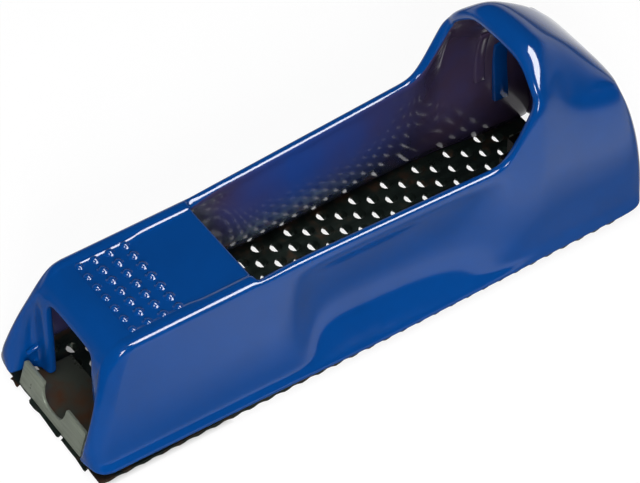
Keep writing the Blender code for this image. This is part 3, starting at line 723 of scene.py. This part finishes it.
def blade_material(colours):
    """Dark hardened steel with a green cast, rolling streaks, and rust by the sides and one front corner."""
    shading = Shading("dark_blade_steel")
    streaks = shading.noise(60.0, 4.0, 0.6, shading.stretched((0.35, 6.0, 1.0)))
    mottle = shading.noise(240.0, 5.0)
    steel = shading.tints(streaks, colours.blade, 0.7, 1.7)
    side = shading.ramp(shading.away("Y", 0.0), 0.008, 0.021)
    front = shading.ramp(shading.axis("X"), -0.0762, -0.0772)
    corner = shading.math("MULTIPLY", front, shading.ramp(shading.axis("Y"), 0.011, 0.013, 0.0, 2.0))
    edges = shading.math("MULTIPLY", shading.math("MAXIMUM", side, corner), 0.14)
    patch = shading.ramp(shading.math("ADD", edges, mottle), 0.62, 0.86)
    base = shading.blend(shading.math("MULTIPLY", patch, 0.75), steel, colours.rust)
    rough = shading.ramp(mottle, *NOISE_RANGE, 0.26, 0.52)
    shading.bump(mottle, 0.25, 0.0003)
    return shading.finish(base, rough, {"Metallic": 0.75})


def rolled_sheet(shading, base_colour):
    """Smudges on sheet steel, and its colour with rolling streaks."""
    streaks = shading.noise(180.0, 4.0, 0.6, shading.stretched((8.0, 0.6, 8.0)))
    shading.bump(streaks, 0.10, 0.0002)
    return shading.noise(150.0, 4.0), shading.tints(streaks, base_colour, 0.82, 1.12)


def bare_steel_material(name, base_colour, rust, rust_share, metallic):
    """Bare sheet steel with rolling streaks, smudges and a little rust."""
    shading = Shading(name)
    smudge, steel = rolled_sheet(shading, base_colour)
    stain = shading.math("MULTIPLY", shading.ramp(smudge, 0.60, 0.82), rust_share)
    base = shading.blend(stain, steel, tinted(rust, 1.2))
    rough = shading.ramp(smudge, *NOISE_RANGE, 0.28, 0.46)
    return shading.finish(base, rough, {"Metallic": metallic})


def clip_material(colours):
    """Front clip: pale lip with rolling streaks, and the tongue behind it painted dark as shade, with a
    brown bloom.
    """
    shading = Shading("clip_steel")
    smudge, pale = rolled_sheet(shading, colours.clip)
    bloom = shading.ramp(smudge, 0.45, 0.75)
    shaded_tongue = shading.blend(bloom, tinted(colours.clip, 0.25), tinted(colours.rust, 0.8))
    # Painted shade: the tongue behind the lip, low under the casting's front, is darkened where the casting
    # shades it; the brown bloom on it is a stain.
    low = shading.ramp(shading.axis("Z"), 0.0050, 0.0040)
    behind = shading.ramp(shading.axis("X"), -0.0764, -0.0756)
    base = shading.blend(shading.math("MULTIPLY", low, behind), pale, shaded_tongue)
    rough = shading.ramp(smudge, *NOISE_RANGE, 0.26, 0.42)
    return shading.finish(base, rough, {"Metallic": 0.45})


def plated_material(name, base_colour, low, high, hardware_shade):
    """Plated or blued hardware with a fine crystalline mottle, and painted shade: a dark colour on the end
    that reaches into the hood's shadow.
    """
    shading = Shading(name)
    mottle = shading.noise(900.0, 3.0)
    clean = shading.tints(mottle, base_colour, 0.8, 1.1)
    # Painted shade: below this place along X the hardware turns dark, as the hood shades it.
    base = shading.blend(shading.ramp(shading.axis("X"), 0.066, 0.060), clean, hardware_shade)
    rough = shading.ramp(shading.noise(500.0, 3.0), *NOISE_RANGE, low, high)
    shading.bump(mottle, 0.12, 0.0001)
    return shading.finish(base, rough, {"Metallic": 0.9})


class RASP_OT_casting(bpy.types.Operator):
    """Hollow casting with thumb pad, window, mouth, scallops and hooded heel."""

    bl_idname = "rasp.casting"
    bl_label = "Casting"

    def execute(self, context):
        sizes = context.scene.rasp_sizes
        colours = context.scene.rasp_colours
        cage = CastingCage(sizes)
        enamel = enamel_material(colours)
        body = make_piece("casting_shell", cage.open_shell(), enamel, inside_material(colours))
        thickest = cage.wall + FOOT_THICKENING
        weights = body.vertex_groups.new(name="wall")
        for vert in body.data.vertices:
            weights.add([vert.index], cage.thickness(vert.co.x / MM, vert.co.z / MM) / thickest, "REPLACE")
        shell = sheet_modifier(body, thickest * MM, -1.0)
        shell.vertex_group = weights.name
        shell.material_offset = 1
        rounding = body.modifiers.new("rounding", "SUBSURF")
        rounding.levels = CAGE_LEVELS
        rounding.render_levels = CAGE_LEVELS
        helpers = [self.boss(), self.passage(), self.seat()]
        for helper, operation in zip(helpers, ("UNION", "DIFFERENCE", "DIFFERENCE")):
            combine(body, helper, operation)
        bake(body)
        for helper in helpers:
            bpy.data.objects.remove(helper, do_unlink=True)
        attach(body, "casting", "blue_paint", "body_casting")
        return {"FINISHED"}

    def boss(self):
        """Round boss that carries the screw inside the heel wall."""
        line = (
            (BOSS_X, 0.0),
            (BOSS_X, BOSS_RADIUS - BOSS_CHAMFER),
            (BOSS_X + BOSS_CHAMFER, BOSS_RADIUS),
            (BOSS_END_X, BOSS_RADIUS),
            (BOSS_END_X, 0.0),
        )
        return self.on_screw_axis("boss", line)

    def passage(self):
        """Stepped bore: shank bore, then a recess for head and washers."""
        start = BOSS_X - 1.0
        line = (
            (start, 0.0),
            (start, BORE_RADIUS),
            (SEAT_X, BORE_RADIUS),
            (SEAT_X, RECESS_RADIUS),
            (RECESS_FLARE_X, RECESS_RADIUS),
            (RECESS_END_X, RECESS_RADIUS + RECESS_FLARE),
            (RECESS_END_X, 0.0),
        )
        return self.on_screw_axis("passage", line)

    def on_screw_axis(self, name, line):
        """Helper turned about the screw's axis."""
        bm = spun_profile(line, SCREW_STEPS)
        bmesh.ops.translate(bm, vec=(0.0, 0.0, SCREW_Z), verts=bm.verts)
        return make_piece(name, bm)

    def seat(self):
        """Slab that planes the walls' feet flat, just clear of the blade."""
        bm = bmesh.new()
        corner = Vector((1.1 * HEEL_X, 2.0 * BASE_WIDTH_HEEL, SKIRT_Z))
        add_block(bm, -corner, corner)
        return make_piece("seat", bm)


class RASP_OT_hood_ribs(bpy.types.Operator):
    """Upright ribs on the walls inside the hood."""

    bl_idname = "rasp.hood_ribs"
    bl_label = "Hood Ribs"

    def execute(self, context):
        cage = CastingCage(context.scene.rasp_sizes)
        bm = bmesh.new()
        for side in (-1.0, 1.0):
            for place, width, low, high in HOOD_RIBS:
                self.add_rib(bm, cage, side, place, width, low, high)
        finishes = [bpy.data.materials[name] for name in ("blue_enamel", "inside_enamel")]
        ribs = make_piece("hood_ribs", bm, *finishes)
        sheet_modifier(ribs, RIB_DEPTH * MM, 1.0)
        edge_modifier(ribs, RIB_EDGE, segments=3)
        bake(ribs)
        attach(ribs, "casting", "blue_paint")
        return {"FINISHED"}

    def add_rib(self, bm, cage, side, place, width, low, high):
        """Strip that stands a little proud of the inner wall and follows its slope."""
        made = bmesh.ops.create_grid(bm, x_segments=2, y_segments=8, size=0.5)
        for vert in made["verts"]:
            x = place + width * vert.co.x
            z = mix(low, high, vert.co.y + 0.5)
            row = share_between(z, cage.skirt_z(x), cage.shoulder_z(x))
            y = cage.wall_half(x, row) - cage.thickness(x, z) - RIB_RISE
            vert.co = (x, side * y, z)
        faces = once(face for vert in made["verts"] for face in vert.link_faces)
        bmesh.ops.recalc_face_normals(bm, faces=faces)
        if faces[0].normal.y * side < 0.0:
            bmesh.ops.reverse_faces(bm, faces=faces)
        for face in faces:
            # The hindmost rib takes the outer enamel and so stays free of the painted shade inside; the
            # other rib takes the inside enamel with its painted shade.
            face.material_index = int(place < HOOD_RIBS[0][0])


class RASP_OT_clip_ledges(bpy.types.Operator):
    """Pairs of small ledges inside the front feet, above the clip."""

    bl_idname = "rasp.clip_ledges"
    bl_label = "Clip Ledges"

    def execute(self, context):
        whole = bmesh.new()
        for side in (-1.0, 1.0):
            for start, end in LEDGES:
                start, end = (Vector((x, side * LEDGE_Y, z)) for x, z in (start, end))
                length = (end - start).length
                tail = [(length - x, radius) for x, radius in reversed(LEDGE_NOSE)]
                bm = spun_profile([*LEDGE_NOSE, *tail], steps=16)
                turn = (end - start).to_track_quat("X", "Z").to_matrix().to_4x4()
                bmesh.ops.transform(bm, matrix=Matrix.Translation(start) @ turn, verts=bm.verts)
                part = bpy.data.meshes.new("ledge")
                bm.to_mesh(part)
                bm.free()
                whole.from_mesh(part)
                bpy.data.meshes.remove(part)
        ledges = make_piece("clip_ledges", whole, bpy.data.materials["blue_enamel"])
        bake(ledges, angle=60.0)
        attach(ledges, "casting", "blue_paint")
        return {"FINISHED"}


class RASP_OT_grip_domes(bpy.types.Operator):
    """Grip domes that rise out of the thumb pad with a small fillet at the foot."""

    bl_idname = "rasp.grip_domes"
    bl_label = "Grip Domes"

    def execute(self, context):
        sizes = context.scene.rasp_sizes
        radius = sizes.dome_radius / MM
        rise = sizes.dome_rise / MM
        line = [(0.0, rise)]
        for angle in DOME_CAP_ANGLES:
            height = mix(DOME_CAP_FOOT, 1.0, cos(radians(angle)))
            line.append((DOME_CAP * radius * sin(radians(angle)), rise * height))
        line += [(out * radius, up * rise) for out, up in DOME_FILLET]
        bm = bmesh.new()
        for row in range(DOME_ROWS):
            for column in range(DOME_COLUMNS):
                x = DOME_X + row * DOME_PITCH_X
                y = (column - (DOME_COLUMNS - 1) / 2) * DOME_PITCH_Y
                self.add_dome(bm, line, Vector((x, y, PAD_Z)))
        bmesh.ops.remove_doubles(bm, verts=bm.verts, dist=CLOSE)
        bmesh.ops.recalc_face_normals(bm, faces=bm.faces)
        domes = make_piece("grip_domes", bm, bpy.data.materials["blue_enamel"])
        bake(domes, angle=80.0)
        attach(domes, "casting", "blue_paint")
        return {"FINISHED"}

    def add_dome(self, bm, line, place):
        """Spin one dome's profile about its upright axis and close its foot."""
        points = [place + Vector((radius, 0.0, height)) for radius, height in line]
        foot_z = spin_line(bm, points, place, (0.0, 0.0, 1.0), DOME_STEPS)[-1].co.z
        reach = 3.0 * line[-1][0]
        foot = [
            edge
            for edge in bm.edges
            if edge.is_boundary
            and abs(edge.verts[0].co.z - foot_z) < CLOSE
            and (edge.verts[0].co - place).length < reach
        ]
        bmesh.ops.contextual_create(bm, geom=foot)


class RASP_OT_blade(bpy.types.Operator):
    """Perforated blade: round punched holes, each half closed by a scooped tooth."""

    bl_idname = "rasp.blade"
    bl_label = "Blade"

    def execute(self, context):
        sizes = context.scene.rasp_sizes
        bm = self.lattice()
        cells = [face for face in bm.faces if self.is_tooth(face)]
        self.round_cells(bm, cells, sizes.hole_radius / MM)
        for cell in cells:
            self.open_tooth(bm, cell, sizes.tooth_drop / MM)
        self.turn_down_sides(bm, sizes.tooth_drop / MM)
        self.ragged_front(bm)
        bmesh.ops.recalc_face_normals(bm, faces=bm.faces)
        if sum(face.normal.z * face.calc_area() for face in bm.faces) < 0.0:
            bmesh.ops.reverse_faces(bm, faces=bm.faces)
        bmesh.ops.translate(bm, vec=(0.0, 0.0, BLADE_HIGH.z), verts=bm.verts)
        blade = make_piece("rasp_sheet", bm, blade_material(context.scene.rasp_colours))
        sheet_modifier(blade, sizes.blade_sheet, -1.0)
        bake(blade, angle=40.0)
        attach(blade, "blade", "blade_steel", "rasp_blade")
        return {"FINISHED"}

    def lattice(self):
        """Flat sheet of diamond cells on the tooth lattice, trimmed to the blade's rectangle."""
        along = Vector((TOOTH_STEP_X, -TOOTH_STEP_Y, 0.0))
        across = Vector((TOOTH_PITCH - TOOTH_STEP_X, TOOTH_STEP_Y, 0.0))
        reach = BLADE_END - BLADE_LOW.x + BLADE_HALF * TOOTH_PITCH / TOOTH_STEP_Y
        cells = 2 * ceil(reach / TOOTH_PITCH)
        bm = bmesh.new()
        bmesh.ops.create_grid(bm, x_segments=cells, y_segments=cells, size=cells / 2)
        middle = Vector(((BLADE_LOW.x + BLADE_HIGH.x) / 2, 0.0, 0.0)) + LATTICE_SHIFT
        for vert in bm.verts:
            vert.co = middle + along * vert.co.x + across * vert.co.y
        for point, normal in (
            ((BLADE_LOW.x, 0, 0), (-1, 0, 0)),
            ((BLADE_END, 0, 0), (1, 0, 0)),
            ((0, -BLADE_HALF, 0), (0, -1, 0)),
            ((0, BLADE_HALF, 0), (0, 1, 0)),
            ((BLADE_LOW.x, BLADE_HALF - TORN_CORNER, 0), (-1, 1, 0)),
        ):
            geom = bm.verts[:] + bm.edges[:] + bm.faces[:]
            bmesh.ops.bisect_plane(bm, geom=geom, plane_co=point, plane_no=normal, clear_outer=True)
        bmesh.ops.remove_doubles(bm, verts=bm.verts, dist=CLOSE)
        return bm

    def is_tooth(self, face):
        """A whole diamond that lies clear of the blade's plain margin."""
        if face.calc_area() < WHOLE_CELL * TOOTH_PITCH * TOOTH_STEP_Y:
            return False
        low, high = BLADE_LOW.x + BLADE_MARGIN, BLADE_HIGH.x - BLADE_MARGIN
        inside = all(low < vert.co.x < high for vert in face.verts)
        return inside and all(abs(vert.co.y) < BLADE_HALF - BLADE_MARGIN / 2 for vert in face.verts)

    def round_cells(self, bm, cells, radius):
        """Inset every tooth cell and round the inner outline into a punched hole's edge."""
        bmesh.ops.inset_individual(bm, faces=cells, thickness=CELL_INSET, use_even_offset=True)
        inner = once(edge for cell in cells for edge in cell.edges)
        bmesh.ops.subdivide_edges(bm, edges=inner, cuts=HOLE_STEPS - 1)
        for cell in cells:
            centre = cell.calc_center_median()
            ring = list(cell.verts)
            start = ring.index(min(ring, key=lambda vert: vert.co.y))
            for step, vert in enumerate(ring[start:] + ring[:start]):
                angle = 2 * pi * step / len(ring) - TOOTH_TURN
                vert.co = centre + radius * Vector((cos(angle), sin(angle), 0.0))

    def open_tooth(self, bm, cell, drop):
        """Open the front part of a round cell and press the rest down into a scoop with a curved lip."""
        ring = sorted(cell.verts, key=lambda vert: vert.co.y)
        ends = (ring[0], ring[-1])
        middle = (ends[0].co + ends[1].co) / 2
        half = (ends[1].co - ends[0].co).length / 2
        bmesh.utils.face_split(cell, *ends)
        lip = bm.edges.get(ends)
        front, scoop = sorted(lip.link_faces, key=lambda part: part.calc_center_median().x)
        arc = sorted((vert for vert in scoop.verts if vert not in ends), key=lambda vert: vert.co.y)
        bmesh.ops.delete(bm, geom=[front], context="FACES_ONLY")
        chord = [ends[0]]
        for left in range(len(arc), 0, -1):
            chord.append(bmesh.utils.edge_split(lip, chord[-1], 1.0 / (left + 1))[1])
        for low, high in zip(chord[1:], arc):
            scoop = next(part for part in low.link_faces if high in part.verts)
            bmesh.utils.face_split(scoop, low, high)
        for low in chord[1:]:
            bow = 1.0 - ((low.co - middle).length / half) ** 2
            low.co += Vector((-LIP_BOW * bow, 0.0, -drop * bow))

    def side_line(self, bm, side):
        """Edges of the sheet along one long side."""
        place = side * BLADE_HALF
        return [edge for edge in bm.edges if all(abs(vert.co.y - place) < CLOSE for vert in edge.verts)]

    def turn_down_sides(self, bm, drop):
        """Turn both long edges down in a wave with two crests to every tooth cell."""
        for side in (-1.0, 1.0):
            pieces = {}
            for edge in self.side_line(bm, side):
                pieces.setdefault(round(edge.calc_length() / SIDE_STEP) - 1, []).append(edge)
            for cuts, edges in pieces.items():
                if cuts > 0:
                    bmesh.ops.subdivide_edges(bm, edges=edges, cuts=cuts)
            lower = bmesh.ops.extrude_edge_only(bm, edges=self.side_line(bm, side))
            for vert in picked(lower["geom"], bmesh.types.BMVert):
                phase = 4.0 * pi * (vert.co.x - BLADE_LOW.x) / TOOTH_PITCH
                depth = mix(SIDE_DROP_TOE, 1.0, share_between(vert.co.x, BLADE_LOW.x, 0.0))
                vert.co.z -= drop * (SIDE_DROP - SIDE_WAVE * cos(phase)) * depth

    def ragged_front(self, bm):
        """Leave torn tabs of the next row of cells on the front edge."""
        edge_x = BLADE_LOW.x
        for low, high in FRONT_TABS:
            for place in (low, high):
                faces = [face for face in bm.faces if min(vert.co.x for vert in face.verts) < edge_x + CLOSE]
                edges = once(edge for face in faces for edge in face.edges)
                verts = once(vert for face in faces for vert in face.verts)
                geom = faces + edges + verts
                bmesh.ops.bisect_plane(bm, geom=geom, plane_co=(0.0, place, 0.0), plane_no=(0.0, 1.0, 0.0))
            torn = [
                edge
                for edge in bm.edges
                if all(abs(vert.co.x - edge_x) < CLOSE for vert in edge.verts)
                and all(low - CLOSE < vert.co.y < high + CLOSE for vert in edge.verts)
                and all(abs(vert.co.z) < CLOSE for vert in edge.verts)
            ]
            pulled = bmesh.ops.extrude_edge_only(bm, edges=torn)
            for vert in picked(pulled["geom"], bmesh.types.BMVert):
                reach = TAB_REACH * (1.0 + TAB_RAGGED * sin(TAB_WAVE * vert.co.y))
                vert.co += Vector((-reach, 0.0, -TAB_DROP))


class RASP_OT_clips(bpy.types.Operator):
    """Front clip with its notched lip, and the finish of the rear clip."""

    bl_idname = "rasp.clips"
    bl_label = "Clips"

    def execute(self, context):
        sizes = context.scene.rasp_sizes
        colours = context.scene.rasp_colours
        sheet = sizes.clip_sheet / MM
        bm = self.lip()
        bmesh.ops.transform(bm, matrix=Matrix.Rotation(CLIP_LEAN, 4, "Y"), verts=bm.verts)
        foot = [edge for edge in bm.edges if all(abs(vert.co.z) < CLOSE for vert in edge.verts)]
        pulled = bmesh.ops.extrude_edge_only(bm, edges=foot)
        verts = picked(pulled["geom"], bmesh.types.BMVert)
        bmesh.ops.translate(bm, vec=(CLIP_REACH, 0.0, 0.0), verts=verts)
        bmesh.ops.recalc_face_normals(bm, faces=bm.faces)
        place = (BLADE_LOW.x + CLIP_SETBACK, 0.0, CLIP_LOW.z + sheet / 2)
        bmesh.ops.translate(bm, vec=place, verts=bm.verts)
        clip = make_piece("notched_clip", bm, clip_material(colours))
        sheet_modifier(clip, sizes.clip_sheet, 0.0)
        edge_modifier(clip, CLIP_EDGE, segments=2)
        bake(clip)
        attach(clip, "blade", "front_clip_steel", "front_clip")
        rear = bare_steel_material("rear_steel", tinted(colours.clip, 0.75), colours.rust, 0.4, 0.7)
        finish_node("rear_clip", rear)
        return {"FINISHED"}

    def lip(self):
        """Upright lip in the YZ plane with its bend at z = 0 and a round notch in its upper edge."""
        bm = bmesh.new()
        half, height = CLIP_WIDTH / 2, CLIP_LIP_HEIGHT
        upper = [(-half, height - CLIP_CORNER), (-half + CLIP_CORNER, height)]
        for step in range(NOTCH_STEPS + 1):
            angle = pi * step / NOTCH_STEPS
            across = -copysign(abs(cos(angle)) ** NOTCH_SQUARE, cos(angle))
            upper.append((NOTCH_WIDTH / 2 * across, height - NOTCH_DEPTH * sin(angle) ** NOTCH_SQUARE))
        upper += [(half - CLIP_CORNER, height), (half, height - CLIP_CORNER)]
        top = [bm.verts.new((0.0, y, z)) for y, z in upper]
        bottom = [bm.verts.new((0.0, y, 0.0)) for y, z in upper]
        for step in range(len(upper) - 1):
            bm.faces.new((bottom[step], bottom[step + 1], top[step + 1], top[step]))
        return bm


class RASP_OT_tensioner(bpy.types.Operator):
    """Hook plate in the heel, and the finishes of nut, screw and washers."""

    bl_idname = "rasp.tensioner"
    bl_label = "Tensioner"

    def execute(self, context):
        colours = context.scene.rasp_colours
        # Painted shade: the hook plate sits in the hood's shadow and takes the clip steel darkened to about
        # a sixth.
        steel = tinted(colours.clip, 0.17)
        self.hook_plate(bare_steel_material("hook_steel_plate", steel, colours.rust, 0.45, 0.85))
        for node, name, base, low, high in (
            ("tension_nut", "zinc_nut", colours.zinc, 0.25, 0.42),
            ("tension_screw", "zinc_screw", colours.zinc, 0.22, 0.38),
            ("flat_washer", "zinc_washer", tinted(colours.zinc, 0.95), 0.25, 0.42),
            ("lock_washer", "blued_spring_steel", colours.spring, 0.30, 0.48),
        ):
            finish_node(node, plated_material(name, base, low, high, colours.hardware_shade))
        return {"FINISHED"}

    def hook_plate(self, material):
        """Plate that pulls the rear clip, with rounded top corners."""
        low, high = (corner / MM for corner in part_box("tension_hook"))
        top = high.z - HOOK_TOP_CUT
        bm = bmesh.new()
        add_block(bm, (low.x, -HOOK_HALF, low.z), (high.x, HOOK_HALF, top))
        corners = [edge for edge in bm.edges if all(vert.co.z > top - CLOSE for vert in edge.verts)]
        corners = [edge for edge in corners if abs(edge.verts[0].co.y - edge.verts[1].co.y) < CLOSE]
        self.round_edges(bm, corners, HOOK_CORNER, segments=6)
        self.round_edges(bm, bm.edges[:], HOOK_EDGE, segments=2)
        plate = make_piece("hook_plate", bm, material)
        bake(plate)
        attach(plate, "hook", "hook_steel", "tension_hook")

    def round_edges(self, bm, edges, radius, segments):
        """Round edges of a plate."""
        bmesh.ops.bevel(
            bm, geom=edges, offset=radius, segments=segments, profile=0.5, affect="EDGES", material=-1
        )


class RASP_OT_stage(bpy.types.Operator):
    """Pale floor, studio light and the camera."""

    bl_idname = "rasp.stage"
    bl_label = "Stage"

    def execute(self, context):
        scene = context.scene
        scene.view_settings.view_transform = "Standard"
        self.floor(scene.rasp_colours)
        self.world(scene)
        self.lamp("top_softbox", (-0.3, -0.25, 1.10), (0.9, 0.9), 11.0).visible_glossy = False
        self.lamp("front_softbox", (-0.45, -0.84, 0.55), (0.35, 0.35), 6.8)
        self.lamp("rim_card", (0.42, -0.50, 0.80), (0.4, 1.0), 24.0).visible_diffuse = False
        self.camera(scene)
        return {"FINISHED"}

    def floor(self, colours):
        """Large floor that reads white to the camera and in reflections, and keeps a soft shadow."""
        bm = bmesh.new()
        bmesh.ops.create_circle(bm, cap_ends=True, segments=64, radius=FLOOR_RADIUS)
        bmesh.ops.recalc_face_normals(bm, faces=bm.faces)
        material = bpy.data.materials.new("pale_floor")
        material.use_nodes = True
        material.node_tree.nodes.clear()
        wiring = Wiring(material.node_tree, "Object")
        path = wiring.node("ShaderNodeLightPath", {}).outputs
        lit = wiring.math("MAXIMUM", path["Is Camera Ray"], self.mirrored_share(wiring))
        level = wiring.math("MULTIPLY", wiring.math("MULTIPLY", lit, FLOOR_GLOW), self.toe_shade(wiring))
        glow = wiring.node("ShaderNodeEmission", {"Strength": level}).outputs[0]
        dim, matte = (
            wiring.node("ShaderNodeBsdfDiffuse", {"Color": (*tinted(colours.floor, share), 1.0)}).outputs[0]
            for share in (FLOOR_DIM, 1.0)
        )
        white = wiring.node("ShaderNodeAddShader", {0: dim, 1: glow}).outputs[0]
        seen = wiring.math("MAXIMUM", path["Is Camera Ray"], path["Is Glossy Ray"])
        clear = wiring.math("MAXIMUM", seen, path["Is Transmission Ray"])
        surface = wiring.node("ShaderNodeMixShader", {0: clear, 1: matte, 2: white}).outputs[0]
        wiring.node("ShaderNodeOutputMaterial", {"Surface": surface})
        floor = make_piece("studio_floor", bm, material)

    def mirrored_share(self, wiring):
        """Share of the glow that reflections see: a painted shadow strip along the near side, weaker ahead
        of the toe, and fading far away.
        """
        shadow_strip = wiring.ramp(wiring.away("Y", SHADOW_STRIP_Y), 0.006, 0.022, 0.12)
        ahead = wiring.ramp(wiring.axis("X"), -0.085, -0.015, 0.12)
        fade = wiring.ramp(wiring.measure("LENGTH", wiring.place), 0.22, 0.6, 0.95, 0.1)
        return wiring.math("MULTIPLY", wiring.math("MULTIPLY", shadow_strip, ahead), fade)

    def toe_shade(self, wiring):
        """Share of the glow that is left under the thumb pad, where little light comes."""
        along = wiring.ramp(wiring.away("X", TOE_PATCH_X), 0.013, 0.017, 0.3)
        across = wiring.ramp(wiring.away("Y", 0.0), 0.018, 0.022)
        return wiring.math("MAXIMUM", along, across)

    def world(self, scene):
        """Studio air: a white backdrop low on the far side, dim elsewhere."""
        world = bpy.data.worlds.new("studio_air")
        scene.world = world
        world.use_nodes = True
        wiring = Wiring(world.node_tree, "Generated")
        ahead = (sin(VIEW_TURN), cos(VIEW_TURN), 0.0)
        low = wiring.ramp(wiring.axis("Z"), 0.36, 0.16)
        far = wiring.ramp(wiring.measure("DOT_PRODUCT", wiring.place, ahead), 0.0, 0.5)
        level = wiring.ramp(wiring.math("MULTIPLY", low, far), 0.0, 1.0, 0.04, 0.8)
        air = world.node_tree.nodes["Background"]
        wiring.feed(air.inputs["Color"], (1.0, 1.0, 1.0, 1.0))
        wiring.feed(air.inputs["Strength"], level)

    def lamp(self, name, place, extent, watts):
        """Soft rectangular lamp that faces the tool."""
        data = bpy.data.lights.new(name, "AREA")
        data.shape = "RECTANGLE"
        data.size, data.size_y = extent
        data.energy = watts
        lamp = bpy.data.objects.new(name, data)
        lamp.location = place
        lamp.rotation_mode = "QUATERNION"
        lamp.rotation_quaternion = (LAMP_TARGET - Vector(place)).to_track_quat("-Z", "Y")
        bpy.context.scene.collection.objects.link(lamp)
        return lamp

    def camera(self, scene):
        """Long lens that looks down on toe and near side."""
        level = cos(VIEW_DOWN)
        ahead = Vector((sin(VIEW_TURN) * level, cos(VIEW_TURN) * level, -sin(VIEW_DOWN)))
        data = bpy.data.cameras.new("camera")
        data.sensor_width = SENSOR_WIDTH
        data.lens = LENS_PER_WIDTH * SENSOR_WIDTH
        data.clip_start = 0.05
        data.clip_end = 20.0
        camera = bpy.data.objects.new("camera", data)
        camera.location = VIEW_TARGET - VIEW_DISTANCE * ahead
        camera.rotation_mode = "QUATERNION"
        camera.rotation_quaternion = ahead.to_track_quat("-Z", "Y")
        scene.collection.objects.link(camera)
        scene.camera = camera


class RASP_PT_panel(bpy.types.Panel):
    """Sizes, colours and builders of the rasp."""

    bl_idname = "RASP_PT_panel"
    bl_label = "Block Rasp"
    bl_space_type = "VIEW_3D"
    bl_region_type = "UI"
    bl_category = "Rasp"

    def draw(self, context):
        for group in (context.scene.rasp_sizes, context.scene.rasp_colours):
            box = self.layout.box()
            for name in group.__annotations__:
                box.prop(group, name)
        for builder in BUILDERS:
            self.layout.operator(builder.bl_idname)


BUILDERS = (
    RASP_OT_casting,
    RASP_OT_hood_ribs,
    RASP_OT_clip_ledges,
    RASP_OT_grip_domes,
    RASP_OT_blade,
    RASP_OT_clips,
    RASP_OT_tensioner,
    RASP_OT_stage,
)
CLASSES = (RaspSizes, RaspColours, *BUILDERS, RASP_PT_panel)


def register():
    """Add the classes and the scene's settings."""
    for cls in CLASSES:
        bpy.utils.register_class(cls)
    bpy.types.Scene.rasp_sizes = PointerProperty(type=RaspSizes)
    bpy.types.Scene.rasp_colours = PointerProperty(type=RaspColours)


def unregister():
    """Take the classes and the scene's settings away."""
    del bpy.types.Scene.rasp_colours
    del bpy.types.Scene.rasp_sizes
    for cls in reversed(CLASSES):
        bpy.utils.unregister_class(cls)


def main():
    """Build every piece and the stage."""
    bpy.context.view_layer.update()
    register()
    bpy.ops.rasp.casting()
    bpy.ops.rasp.hood_ribs()
    bpy.ops.rasp.clip_ledges()
    bpy.ops.rasp.grip_domes()
    bpy.ops.rasp.blade()
    bpy.ops.rasp.clips()
    bpy.ops.rasp.tensioner()
    bpy.ops.rasp.stage()
    bpy.context.view_layer.update()


if __name__ == "__main__":
    main()
